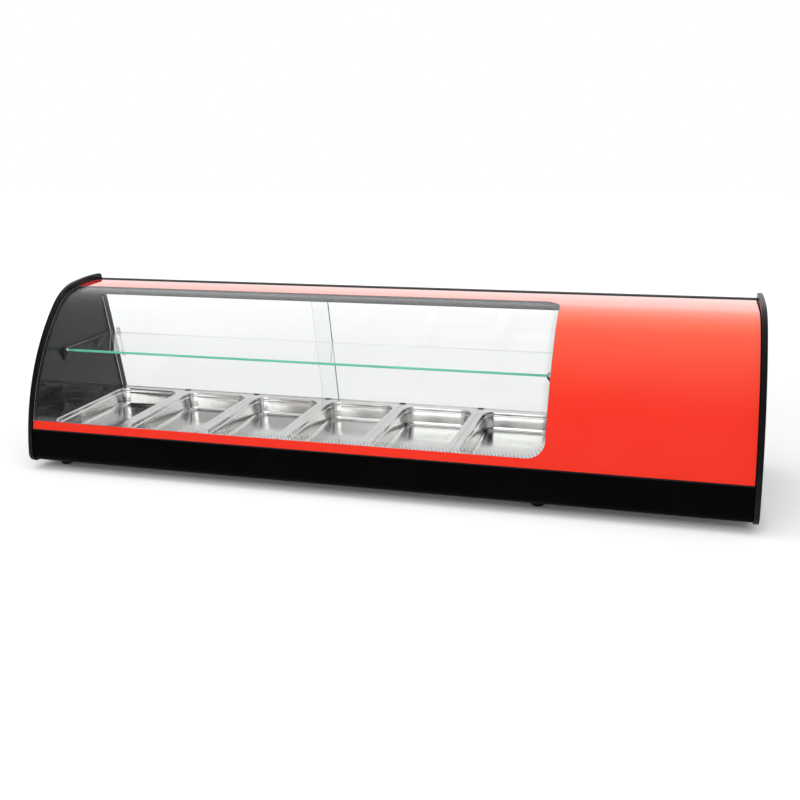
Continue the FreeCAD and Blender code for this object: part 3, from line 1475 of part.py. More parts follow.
def end_screws(side, head_start, shank_start):
    """Four round-headed screws through one end panel into the structure behind it."""
    screws = []
    for spot, (y, z) in enumerate(screw_places):
        head = cylinder(f"{side}_screw_head_{spot}", "X", head_start, y, z, screw_radius, screw_head)
        shank = cylinder(f"{side}_screw_shank_{spot}", "X", shank_start, y, z, screw_shank,
                         screw_reach)
        screws.append(fuse(f"{side}_screw_{spot}", head, shank))
    return screws


keep(group("screws", *end_screws("left", -half_length - screw_head, -half_length),
           *end_screws("right", half_length, half_length - screw_reach)), "end_panel_screws")

# ---------------------------------------------------------------- check and write

doc.recompute()
for item in doc.Objects:
    if "Invalid" in item.State or "Error" in item.State:
        raise RuntimeError(f"{item.Name} failed: {item.State}")
os.makedirs("parts", exist_ok=True)
for item in parts:
    if item.Shape.isNull() or not item.Shape.isValid():
        raise RuntimeError(f"{item.Label} has no valid shape")
    item.Shape.exportStep(f"parts/{item.Label}.step")
print(len(parts), "sub-parts written")
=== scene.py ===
"""Finishes and fine surfaces of the counter-top refrigerated deli case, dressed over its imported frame."""
import functools
import logging
import math
from collections.abc import Sequence
from dataclasses import dataclass, field
from enum import Enum

import bmesh
import bpy
import numpy as np
from mathutils import Matrix, Vector


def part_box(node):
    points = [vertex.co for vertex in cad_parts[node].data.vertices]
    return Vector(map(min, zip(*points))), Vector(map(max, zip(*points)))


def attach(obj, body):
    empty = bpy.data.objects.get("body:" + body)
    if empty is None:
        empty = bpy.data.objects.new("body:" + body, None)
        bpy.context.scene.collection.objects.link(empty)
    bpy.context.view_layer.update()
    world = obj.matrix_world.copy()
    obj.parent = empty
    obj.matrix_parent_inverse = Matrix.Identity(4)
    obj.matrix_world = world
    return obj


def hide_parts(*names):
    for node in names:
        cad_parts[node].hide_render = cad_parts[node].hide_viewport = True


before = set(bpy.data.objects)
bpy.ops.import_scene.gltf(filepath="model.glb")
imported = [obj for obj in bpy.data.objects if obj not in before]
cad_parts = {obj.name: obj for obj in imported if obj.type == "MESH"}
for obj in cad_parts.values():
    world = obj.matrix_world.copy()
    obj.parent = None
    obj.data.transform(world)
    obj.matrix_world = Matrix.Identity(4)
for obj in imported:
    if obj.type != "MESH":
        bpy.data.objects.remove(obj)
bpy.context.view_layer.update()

log = logging.getLogger("deli_case")
Array = np.ndarray

# Parts of a turn, and the angle by which the rear doors lean forwards, in radians.
QUARTER = math.pi / 2
HALF = math.pi
THREE_QUARTERS = 1.5 * math.pi
FULL = 2 * math.pi
DOOR_LEAN = math.radians(15)


# ---------------------------------------------------------------- outlines and surfaces


@dataclass(frozen=True)
class Plane:
    """A flat frame in space: two axes along it and one out of it."""

    origin: tuple[float, float, float] = (0.0, 0.0, 0.0)
    across: tuple[float, float, float] = (1.0, 0.0, 0.0)
    along: tuple[float, float, float] = (0.0, 1.0, 0.0)
    out: tuple[float, float, float] = (0.0, 0.0, 1.0)

    def place(self, flat: Array, height: Array | float) -> Array:
        """Put flat points in space: origin + u across + v along + height out.

        Args:
            flat: points on the plane, shaped (..., 2).
            height: distance out of the plane, one number or shaped like flat without its last axis.

        Returns:
            Points in space, shaped (..., 3).
        """
        axes = np.array((self.across, self.along, self.out))
        stacked = np.concatenate((flat, np.broadcast_to(height, flat.shape[:-1])[..., None]), axis=-1)
        return stacked @ axes + np.array(self.origin)


LEVEL = Plane()
SIDEWAYS = Plane(across=(0.0, 1.0, 0.0), along=(0.0, 0.0, 1.0), out=(1.0, 0.0, 0.0))


@dataclass(frozen=True)
class Turn:
    """One arc of an outline, seen from its centre. A hollow one has its material outside the arc."""

    centre: tuple[float, float]
    radius: float
    begin: float
    end: float
    steps: int = 6
    hollow: bool = False


@dataclass(frozen=True)
class Outline:
    """A closed flat outline: points, and at each the unit normal that points out of the material."""

    points: Array
    normals: Array

    @staticmethod
    def of(turns: Sequence[Turn]) -> "Outline":
        """Join arcs in order with straight lines: centre + radius (cos a, sin a).

        Args:
            turns: the arcs, each from its begin to its end angle in radians.

        Returns:
            The closed outline.
        """
        points, normals = [], []
        for turn in turns:
            angle = np.linspace(turn.begin, turn.end, turn.steps + 1)
            spoke = np.column_stack((np.cos(angle), np.sin(angle)))
            points.append(np.array(turn.centre) + turn.radius * spoke)
            normals.append(-spoke if turn.hollow else spoke)
        return Outline(np.vstack(points), np.vstack(normals))

    @staticmethod
    def rounded(low: Sequence[float], high: Sequence[float], corner: float, steps: int = 6) -> "Outline":
        """A rectangle between two corners, each of its corners a quarter turn.

        Args:
            low: smallest coordinates.
            high: largest coordinates.
            corner: corner radius.
            steps: segments in each quarter turn.

        Returns:
            The closed outline.
        """
        inner = ((high[0] - corner, high[1] - corner), (low[0] + corner, high[1] - corner),
                 (low[0] + corner, low[1] + corner), (high[0] - corner, low[1] + corner))
        return Outline.of([Turn(centre, corner, index * QUARTER, (index + 1) * QUARTER, steps)
                           for index, centre in enumerate(inner)])

    @staticmethod
    def about(middle: Sequence[float], size: Sequence[float], corner: float, steps: int = 6) -> "Outline":
        """A rectangle with rounded corners about its middle: middle - size / 2 to middle + size / 2."""
        reach = np.array(size) / 2
        return Outline.rounded(np.array(middle) - reach, np.array(middle) + reach, corner, steps)

    @staticmethod
    def disc(centre: Sequence[float], radius: float, steps: int = 40) -> "Outline":
        """A circle about a centre."""
        return Outline.of([Turn(tuple(centre), radius, 0.0, FULL * (1 - 1 / steps), steps - 1)])

    def ring(self, inset: float | Array) -> Array:
        """The outline moved into the material by an inset: point - inset * normal."""
        return self.points - np.asarray(inset)[..., None, None] * self.normals


def softened(low: float, high: float, low_round: float, high_round: float, steps: int = 4) -> Array:
    """Insets and heights of a wall with rounded edges: inset r(1 - cos t), height r(1 - sin t) from the end.

    Args:
        low: lowest height.
        high: highest height.
        low_round: radius of the lower edge.
        high_round: radius of the upper edge.
        steps: segments in each edge.

    Returns:
        Rows of (inset, height) from the lower end to the upper end.
    """
    turn = np.linspace(0.0, QUARTER, steps + 1)
    lower = np.column_stack((low_round * (1 - np.cos(turn)), low + low_round * (1 - np.sin(turn))))
    upper = np.column_stack((high_round * (1 - np.cos(turn)), high - high_round * (1 - np.sin(turn))))
    return np.vstack((lower[::-1], upper))


def hexagon(flat: float, spoke: Array) -> Array:
    """Radius of a hexagon at angles: half its width over flats / cos(angle from the nearest flat)."""
    return flat / np.cos(spoke % (FULL / 6) - FULL / 12)


def face_rank(face: bmesh.types.BMFace, count: int) -> float:
    """A number that orders faces by their vertices, so that a mesh is written the same way each time."""
    places = sorted(vert.index for vert in face.verts)
    return float((places[0] * count + places[1]) * count + places[-1])


@dataclass
class Shell:
    """Surfaces gathered as arrays of points, then put into one mesh."""

    name: str
    points: list[Array] = field(default_factory=list)
    faces: list[list[int]] = field(default_factory=list)
    slots: list[int] = field(default_factory=list)
    count: int = 0

    def grid(self, surface: Array, wrap: bool = False, slot: int | Array = 0) -> Array:
        """Add a grid of points as quads between neighbours.

        Args:
            surface: points shaped (rows, columns, 3).
            wrap: join the last column to the first.
            slot: index of the finish, or an array of them for each column or each quad.

        Returns:
            The index of each point in the mesh.
        """
        rows, columns = surface.shape[:2]
        index = self.count + np.arange(rows * columns).reshape(rows, columns)
        loop = np.hstack((index, index[:, :1])) if wrap else index
        quads = np.stack((loop[:-1, :-1], loop[:-1, 1:], loop[1:, 1:], loop[1:, :-1]), axis=-1)
        self.points.append(surface.reshape(-1, 3))
        self.faces += quads.reshape(-1, 4).tolist()
        self.slots += np.broadcast_to(slot, quads.shape[:2]).ravel().tolist()
        self.count += rows * columns
        return index

    def loft(self, rings: Array, slot: int | Array = 0, cap_slot: int = 0, capped: bool = True) -> None:
        """Add closed rings joined in order, with a flat cap on the first and the last.

        Args:
            rings: points shaped (rings, points, 3).
            slot: index of the wall's finish, or an array of them as in grid.
            cap_slot: index of the caps' finish.
            capped: close both ends, or join the last ring to the first.
        """
        if not capped:
            rings = np.concatenate((rings, rings[:1]))
        index = self.grid(rings, wrap=True, slot=slot)
        if capped:
            self.faces += [index[0].tolist(), index[-1][::-1].tolist()]
            self.slots += [cap_slot] * 2

    def wall(self, outline: Outline, edge: Array, plane: Plane, slot: int | Array = 0,
             cap_slot: int = 0) -> None:
        """Add a solid with one outline whose inset changes with its height out of a plane.

        Args:
            outline: the outline on the plane.
            edge: rows of (inset, height).
            plane: where the outline lies.
            slot: index of the wall's finish, or an array of them as in grid.
            cap_slot: index of the caps' finish.
        """
        flat = outline.ring(edge[:, 0])
        heights = np.broadcast_to(edge[:, 1][:, None], flat.shape[:2])
        self.loft(plane.place(flat, heights), slot, cap_slot)

    def build(self, finishes: Sequence["Finish"], sharp: float = 32.0, wall: float = 0.0) -> bpy.types.Object:
        """Merge the doubles, turn the faces outwards, weight the normals by area and make the object.

        Args:
            finishes: the finish of each slot.
            sharp: edges steeper than this many degrees stay sharp.
            wall: thickness given to an open sheet, or 0 for a shape that is closed already.

        Returns:
            The new object, at the origin.
        """
        mesh = bpy.data.meshes.new(self.name)
        mesh.from_pydata(np.vstack(self.points).tolist(), [], self.faces)
        mesh.polygons.foreach_set("material_index", np.array(self.slots, dtype=np.int32))
        work = bmesh.new()
        work.from_mesh(mesh)
        bmesh.ops.remove_doubles(work, verts=work.verts, dist=2e-6)
        bmesh.ops.recalc_face_normals(work, faces=work.faces)
        if wall:
            bmesh.ops.solidify(work, geom=list(work.faces), thickness=wall)
            bmesh.ops.recalc_face_normals(work, faces=work.faces)
            work.verts.index_update()
            work.faces.sort(key=lambda face: face_rank(face, len(work.verts)))
        work.to_mesh(mesh)
        work.free()
        mesh.polygons.foreach_set("use_smooth", np.ones(len(mesh.polygons), dtype=bool))
        mesh.set_sharp_from_angle(angle=math.radians(sharp))
        for finish in finishes:
            mesh.materials.append(material_of(finish))
        item = bpy.data.objects.new(self.name, mesh)
        bpy.context.scene.collection.objects.link(item)
        weighting = item.modifiers.new("even_normals", "WEIGHTED_NORMAL")
        weighting.keep_sharp = True
        return item


def seat(item: bpy.types.Object, body: str, slot: str, *nodes: str) -> bpy.types.Object:
    """Ride a finished piece on its body and let it stand for CAD nodes.

    Args:
        item: the finished piece.
        body: name of the body that it moves with.
        slot: name of its material slot; not used.
        *nodes: CAD nodes that it stands for.

    Returns:
        The same piece.
    """
    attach(item, body)
    if nodes:
        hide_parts(*nodes)
    log.info("%s rides on %s, %d faces", item.name, body, len(item.data.polygons))
    return item


def dress(finish: "Finish", *nodes: str) -> None:
    """Give CAD nodes that keep their own shape a procedural finish.

    Args:
        finish: the finish.
        *nodes: the CAD nodes.
    """
    for node in nodes:
        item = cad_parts[node]
        for place in item.material_slots:
            place.material = material_of(finish)
        log.info("%s dressed as %s", node, finish.name)


def corners(node: str) -> tuple[Array, Array]:
    """Lowest and highest corners of a CAD node as arrays."""
    low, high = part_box(node)
    return np.array(low), np.array(high)


# ---------------------------------------------------------------- shared shader effects


class Effect(Enum):
    """Surface effects that several finishes share."""

    MOTTLE = "soft_mottle"
    GRAIN = "moulded_grain"
    DRAWN = "drawn_lines"
    DUST = "settled_dust"


class Tree:
    """Small helper that adds and joins shader nodes in one tree."""

    def __init__(self, tree: bpy.types.NodeTree) -> None:
        """Keep the tree."""
        self.tree = tree

    def add(self, kind: str, **values: object) -> bpy.types.Node:
        """Add a node, setting its properties.

        Args:
            kind: the node's type name.
            **values: properties of the node.

        Returns:
            The node.
        """
        node = self.tree.nodes.new(kind)
        for name, value in values.items():
            setattr(node, name, value)
        return node

    def join(self, source: object, target: bpy.types.NodeSocket) -> None:
        """Link an output to an input, or write a plain value on the input.

        Args:
            source: an output, a number or a vector.
            target: the input.
        """
        if isinstance(source, bpy.types.NodeSocket):
            self.tree.links.new(source, target)
        else:
            target.default_value = source

    def noise(self, vector: bpy.types.NodeSocket, scale: float, detail: float = 2.0) -> bpy.types.NodeSocket:
        """Add fractal noise.

        Args:
            vector: where the noise is read.
            scale: how many patches fit into a metre.
            detail: how many finer layers it has.

        Returns:
            The noise's value.
        """
        node = self.add("ShaderNodeTexNoise")
        node.inputs["Scale"].default_value = scale
        node.inputs["Detail"].default_value = detail
        self.join(vector, node.inputs["Vector"])
        return node.outputs["Fac"]

    def math(self, kind: str, first: object, second: object = 0.0) -> bpy.types.NodeSocket:
        """Add a Math node.

        Args:
            kind: the operation.
            first: an output or a number.
            second: an output or a number.

        Returns:
            The result.
        """
        node = self.add("ShaderNodeMath", operation=kind)
        self.join(first, node.inputs[0])
        self.join(second, node.inputs[1])
        return node.outputs[0]

    def vector(self, kind: str, *values: object) -> bpy.types.NodeSocket:
        """Add a Vector Math node.

        Args:
            kind: the operation.
            *values: outputs or vectors, one for each input.

        Returns:
            The resulting vector, or the value where the operation gives one.
        """
        node = self.add("ShaderNodeVectorMath", operation=kind)
        for value, target in zip(values, node.inputs):
            self.join(value, target)
        return node.outputs["Value" if kind in ("LENGTH", "DOT_PRODUCT") else "Vector"]

    def place(self) -> bpy.types.NodeSocket:
        """Add the object's own coordinates and return them."""
        return self.add("ShaderNodeTexCoord").outputs["Object"]

    def remap(self, value: bpy.types.NodeSocket, low: float, high: float, first: object = 0.0,
              second: object = 1.0) -> bpy.types.NodeSocket:
        """Spread a value between two limits over a range, clamped.

        Args:
            value: the value.
            low: lower limit.
            high: upper limit.
            first: result at the lower limit, an output or a number.
            second: result at the upper limit, an output or a number.

        Returns:
            The spread value.
        """
        node = self.add("ShaderNodeMapRange")
        for source, name in ((value, "Value"), (low, "From Min"), (high, "From Max"), (first, "To Min"),
                             (second, "To Max")):
            self.join(source, node.inputs[name])
        return node.outputs["Result"]

    def mix(self, factor: object, first: object, second: object) -> bpy.types.NodeSocket:
        """Mix two colours.

        Args:
            factor: share of the second, an output or a number.
            first: an output or a colour.
            second: an output or a colour.

        Returns:
            The mixed colour.
        """
        node = self.add("ShaderNodeMix", data_type="RGBA")
        for source, place in ((factor, 0), (first, 6), (second, 7)):
            self.join(source, node.inputs[place])
        return node.outputs[2]

    def stretch(self, vector: bpy.types.NodeSocket, scale: Sequence[float]) -> bpy.types.NodeSocket:
        """Scale a vector along its axes.

        Args:
            vector: the vector.
            scale: the scale along each axis.

        Returns:
            The scaled vector.
        """
        node = self.add("ShaderNodeMapping")
        node.inputs["Scale"].default_value = scale
        self.join(vector, node.inputs["Vector"])
        return node.outputs["Vector"]


EFFECT_SOCKETS = {
    Effect.MOTTLE: ((("Vector", "Vector"), ("Color", "Base"), ("Color", "Second"), ("Float", "Roughness"),
                     ("Float", "Spread")), (("Color", "Colour"), ("Float", "Roughness"))),
    Effect.GRAIN: ((("Vector", "Vector"),), (("Float", "Height"),)),
    Effect.DRAWN: ((("Vector", "Vector"),), (("Float", "Height"), ("Float", "Streak"))),
    Effect.DUST: ((("Vector", "Vector"), ("Float", "Amount")), (("Float", "Mask"),)),
}


@functools.cache
def effect_group(effect: Effect) -> bpy.types.NodeTree:
    """Build the node group of an effect once.

    Args:
        effect: which effect.

    Returns:
        The node group, with named inputs and outputs.
    """
    group = bpy.data.node_groups.new(effect.value, "ShaderNodeTree")
    for side, sockets in zip(("INPUT", "OUTPUT"), EFFECT_SOCKETS[effect]):
        for kind, name in sockets:
            group.interface.new_socket(name=name, in_out=side, socket_type=f"NodeSocket{kind}")
    tree = Tree(group)
    given, made = tree.add("NodeGroupInput").outputs, tree.add("NodeGroupOutput").inputs
    vector = given["Vector"]
    if effect is Effect.MOTTLE:
        patches = tree.remap(tree.noise(vector, 9.0, 4.0), 0.35, 0.65)
        tree.join(tree.mix(patches, given["Base"], given["Second"]), made["Colour"])
        smears = tree.math("SUBTRACT", tree.noise(vector, 31.0, 3.0), 0.5)
        change = tree.math("MULTIPLY", smears, given["Spread"])
        tree.join(tree.math("ADD", given["Roughness"], change), made["Roughness"])
    elif effect is Effect.GRAIN:
        cells = tree.add("ShaderNodeTexVoronoi", feature="SMOOTH_F1")
        cells.inputs["Scale"].default_value = 900.0
        tree.join(vector, cells.inputs["Vector"])
        fine = tree.noise(vector, 1500.0)
        tree.join(tree.math("ADD", cells.outputs["Distance"], fine), made["Height"])
    elif effect is Effect.DRAWN:
        lines = tree.noise(tree.stretch(vector, (6.0, 900.0, 900.0)), 1.0, 3.0)
        broad = tree.noise(tree.stretch(vector, (2.0, 90.0, 90.0)), 1.0, 2.0)
        tree.join(lines, made["Height"])
        tree.join(tree.remap(broad, 0.3, 0.7), made["Streak"])
    else:
        specks = tree.remap(tree.noise(vector, 420.0, 3.0), 0.62, 0.75)
        clouds = tree.remap(tree.noise(vector, 14.0, 3.0), 0.45, 0.75)
        both = tree.math("ADD", specks, tree.math("MULTIPLY", clouds, 0.6))
        tree.join(tree.math("MULTIPLY", both, given["Amount"]), made["Mask"])
    return group


# ---------------------------------------------------------------- finishes


Colour = tuple[float, float, float]


@dataclass(frozen=True)
class Finish:
    """A surface finish. Colours are linear."""

    name: str
    colour: Colour
    second: Colour
    roughness: float = 0.4
    spread: float = 0.08
    specular: float = 0.5

    def shade(self, tree: Tree, vector: bpy.types.NodeSocket, surface: bpy.types.Node) -> None:
        """Add what this kind of finish has beyond its mottled colour."""

    def effect(self, tree: Tree, effect: Effect, vector: bpy.types.NodeSocket) -> bpy.types.Node:
        """Place a shared effect in the material's tree."""
        node = tree.add("ShaderNodeGroup", node_tree=effect_group(effect))
        tree.join(vector, node.inputs["Vector"])
        return node

    def bump(self, tree: Tree, height: bpy.types.NodeSocket, surface: bpy.types.Node, strength: float,
             depth: float) -> None:
        """Feed a height to the surface's normal through a Bump node.

        Args:
            tree: the material's tree.
            height: the height.
            surface: the Principled BSDF.
            strength: strength of the bump.
            depth: depth of a height of 1, in metres.
        """
        node = tree.add("ShaderNodeBump")
        node.inputs["Strength"].default_value = strength
        node.inputs["Distance"].default_value = depth
        tree.join(height, node.inputs["Height"])
        tree.join(node.outputs["Normal"], surface.inputs["Normal"])

    def make(self) -> bpy.types.Material:
        """Build the material: a mottled colour and roughness, then what the kind adds.

        Returns:
            The material.
        """
        material = bpy.data.materials.new(self.name)
        material.use_nodes = True
        tree = Tree(material.node_tree)
        surface = material.node_tree.nodes["Principled BSDF"]
        vector = tree.place()
        mottle = self.effect(tree, Effect.MOTTLE, vector)
        for value, name in (((*self.colour, 1.0), "Base"), ((*self.second, 1.0), "Second"),
                            (self.roughness, "Roughness"), (self.spread, "Spread")):
            tree.join(value, mottle.inputs[name])
        tree.join(mottle.outputs["Colour"], surface.inputs["Base Color"])
        tree.join(mottle.outputs["Roughness"], surface.inputs["Roughness"])
        surface.inputs["Specular IOR Level"].default_value = self.specular
        self.shade(tree, vector, surface)
        return material


@functools.cache
def material_of(finish: Finish) -> bpy.types.Material:
    """The material of a finish, built once."""
    return finish.make()


@dataclass(frozen=True)
class Moulded(Finish):
    """Moulded plastic or rubber with a fine pebbled grain."""

    grain: float = 0.25
    grain_depth: float = 0.00006

    def shade(self, tree: Tree, vector: bpy.types.NodeSocket, surface: bpy.types.Node) -> None:
        """Add the pebbled grain as a bump."""
        grain = self.effect(tree, Effect.GRAIN, vector)
        self.bump(tree, grain.outputs["Height"], surface, self.grain, self.grain_depth)


@dataclass(frozen=True)
class Metal(Finish):
    """Sheet or cast metal with drawn lines in its surface."""

    metallic: float = 1.0
    lines: float = 0.2
    line_depth: float = 0.00004
    streak: float = 0.1

    def shade(self, tree: Tree, vector: bpy.types.NodeSocket, surface: bpy.types.Node) -> None:
        """Add drawn lines as a bump and as streaks of roughness.

        Args:
            tree: the material's tree.
            vector: the object's own coordinates.
            surface: the Principled BSDF.
        """
        surface.inputs["Metallic"].default_value = self.metallic
        drawn = self.effect(tree, Effect.DRAWN, vector)
        plain = surface.inputs["Roughness"].links[0].from_socket
        change = tree.math("MULTIPLY", drawn.outputs["Streak"], self.streak)
        tree.join(tree.math("ADD", plain, change), surface.inputs["Roughness"])
        self.bump(tree, drawn.outputs["Height"], surface, self.lines, self.line_depth)


@dataclass(frozen=True)
class Glass(Finish):
    """Clear float glass that lets the lamps' light through to what lies behind it."""

    index: float = 1.45
    smears: float = 0.015
    shadow: Colour = (0.96, 0.97, 0.96)

    def shade(self, tree: Tree, vector: bpy.types.NodeSocket, surface: bpy.types.Node) -> None:
        """Make the surface transmit and let shadow rays pass.

        Args:
            tree: the material's tree.
            vector: the object's own coordinates.
            surface: the Principled BSDF.
        """
        surface.inputs["Metallic"].default_value = 0.0
        surface.inputs["Transmission Weight"].default_value = 1.0
        surface.inputs["IOR"].default_value = self.index
        wiped = tree.remap(tree.noise(vector, 7.0, 4.0), 0.45, 0.8, 0.0, self.smears)
        tree.join(wiped, surface.inputs["Roughness"])
        clear = tree.add("ShaderNodeBsdfTransparent")
        clear.inputs["Color"].default_value = (*self.shadow, 1.0)
        either = tree.add("ShaderNodeMixShader")
        tree.join(tree.add("ShaderNodeLightPath").outputs["Is Shadow Ray"], either.inputs[0])
        tree.join(surface.outputs[0], either.inputs[1])
        tree.join(clear.outputs[0], either.inputs[2])
        tree.join(either.outputs[0], tree.tree.nodes["Material Output"].inputs["Surface"])


@dataclass(frozen=True)
class Gloss(Finish):
    """Baked enamel on glass: a smooth colour with a mirror-like top."""

    coat: float = 0.0
    index: float = 1.5
    tint: Colour = (1.0, 1.0, 1.0)
    dust: float = 0.05

    def shade(self, tree: Tree, vector: bpy.types.NodeSocket, surface: bpy.types.Node) -> None:
        """Add a faint haze of dust to the roughness, a clear coat and the tint of a pearly print.

        Args:
            tree: the material's tree.
            vector: the object's own coordinates.
            surface: the Principled BSDF.
        """
        surface.inputs["Coat Weight"].default_value = self.coat
        surface.inputs["IOR"].default_value = self.index
        surface.inputs["Specular Tint"].default_value = (*self.tint, 1.0)
        dust = self.effect(tree, Effect.DUST, vector)
        dust.inputs["Amount"].default_value = self.dust
        plain = surface.inputs["Roughness"].links[0].from_socket
        tree.join(tree.math("ADD", plain, dust.outputs["Mask"]), surface.inputs["Roughness"])


PANEL = Moulded("panel_black", (0.0035, 0.0035, 0.004), (0.0055, 0.0055, 0.006), 0.32, 0.10, 0.14, grain=0.10)
FASCIA = Moulded("fascia_black", (0.0009, 0.0009, 0.0010), (0.0014, 0.0014, 0.0015), 0.40, 0.10, 0.02,
                 grain=0.08)
RUBBER = Moulded("foot_rubber", (0.008, 0.008, 0.008), (0.013, 0.013, 0.013), 0.72, 0.10, 0.15, grain=0.5)
SEAL = Moulded("seal_rubber", (0.009, 0.009, 0.010), (0.013, 0.013, 0.014), 0.6, 0.10, 0.15, grain=0.3)
TRACK = Moulded("track_black", (0.008, 0.008, 0.009), (0.013, 0.013, 0.014), 0.4, 0.10, 0.2, grain=0.2)
# Pale bead on the door stop: its colour paints the thin highlight lines along the stop.
HIGHLIGHT_BEAD = Moulded("painted_highlight_bead", (0.80, 0.80, 0.80), (0.86, 0.86, 0.85), 0.4, 0.08, 0.4, grain=0.1)
PLASTIC = Moulded("control_plastic", (0.010, 0.010, 0.011), (0.015, 0.015, 0.016), 0.42, 0.10, 0.3, grain=0.3)
KEY = Moulded("key_grey", (0.16, 0.165, 0.17), (0.19, 0.195, 0.2), 0.45, 0.08, 0.4, grain=0.2)
LINER = Moulded("liner_gloss", (0.0045, 0.0045, 0.005), (0.006, 0.006, 0.0065), 0.05, 0.01, 0.24, grain=0.0)
LAMP_CASE = Moulded("lamp_case_grey", (0.070, 0.079, 0.082), (0.078, 0.087, 0.090), 0.50, 0.05, 0.2,
                    grain=0.05)
DIFFUSER = Moulded("lamp_diffuser", (0.40, 0.425, 0.435), (0.43, 0.455, 0.465), 0.40, 0.04, 0.4, grain=0.05)
FOAM = Moulded("insulating_foam", (0.72, 0.60, 0.38), (0.62, 0.50, 0.30), 0.9, 0.05, 0.2, grain=0.8,
               grain_depth=0.0004)
BOARD = Moulded("board_green", (0.02, 0.12, 0.05), (0.03, 0.15, 0.07), 0.4, 0.1, 0.5, grain=0.1)
COMPRESSOR = Moulded("compressor_black", (0.010, 0.010, 0.010), (0.016, 0.016, 0.016), 0.38, 0.15, 0.5,
                     grain=0.3, grain_depth=0.00015)
STAINLESS = Metal("stainless_pan", (0.61, 0.61, 0.60), (0.66, 0.66, 0.65), 0.15, 0.04, lines=0.004,
                  streak=0.02)
FRAME_STEEL = Metal("stainless_frame", (0.55, 0.55, 0.54), (0.61, 0.61, 0.60), 0.20, 0.05, lines=0.01)
COATED_STEEL = Moulded("coated_steel", (0.016, 0.016, 0.017), (0.021, 0.021, 0.022), 0.34, 0.08, 0.4,
                       grain=0.25)
GALVANISED = Metal("galvanised_steel", (0.42, 0.43, 0.44), (0.52, 0.53, 0.54), 0.42, 0.15, lines=0.05)
PROFILE = Metal("anodised_black", (0.006, 0.006, 0.0065), (0.009, 0.009, 0.0095), 0.50, 0.06, 0.12,
                metallic=0.0, lines=0.005, streak=0.02)
ALUMINIUM = Metal("aluminium_fins", (0.62, 0.63, 0.64), (0.70, 0.71, 0.72), 0.35, 0.12, lines=0.1)
COPPER = Metal("copper_pipe", (0.72, 0.33, 0.18), (0.58, 0.25, 0.13), 0.30, 0.15, lines=0.05)
ZINC = Metal("zinc_screw", (0.045, 0.045, 0.047), (0.06, 0.06, 0.062), 0.35, 0.10, metallic=0.7, lines=0.1)
CLEAR = Glass("clear_glass", (0.978, 0.985, 0.981), (0.973, 0.983, 0.977), 0.0, 0.0, index=1.35)
ACRYLIC = Glass("clear_acrylic", (0.99, 0.99, 0.99), (0.985, 0.985, 0.985), 0.0, 0.0, index=1.03)
BENT = Glass("bent_front_glass", (0.925, 0.932, 0.930), (0.920, 0.930, 0.926), 0.0, 0.0, index=1.2)
# Pale edge finish: its whiteness paints the glint along glass edges, on the front pane's ends and the shelf's
# sides.
EDGE_GLINT = Moulded("painted_edge_glint", (0.80, 0.84, 0.84), (0.86, 0.89, 0.89), 0.3, 0.05, 0.5, grain=0.05)
PANE_END = Moulded("pane_end", (0.030, 0.031, 0.032), (0.040, 0.041, 0.042), 0.4, 0.08, 0.2, grain=0.1)
SHELF_EDGE = Moulded("glass_edge", (0.085, 0.40, 0.29), (0.11, 0.46, 0.34), 0.25, 0.08, 0.4, grain=0.1)
DOOR_EDGE = Moulded("pane_edge", (0.030, 0.050, 0.045), (0.045, 0.070, 0.062), 0.25, 0.08, 0.4, grain=0.1)
RED_PRINT = Gloss("red_print", (0.93, 0.028, 0.017), (0.92, 0.024, 0.014), 0.045, 0.01, coat=1.0, index=2.0,
                  tint=(1.0, 0.85, 0.32))
DOT_PRINT = Gloss("dot_print", (0.25, 0.255, 0.26), (0.28, 0.285, 0.29), 0.12, 0.04)
DISPLAY = Gloss("display_window", (0.020, 0.004, 0.004), (0.026, 0.006, 0.006), 0.06, 0.02, coat=0.5)


# ---------------------------------------------------------------- side profile


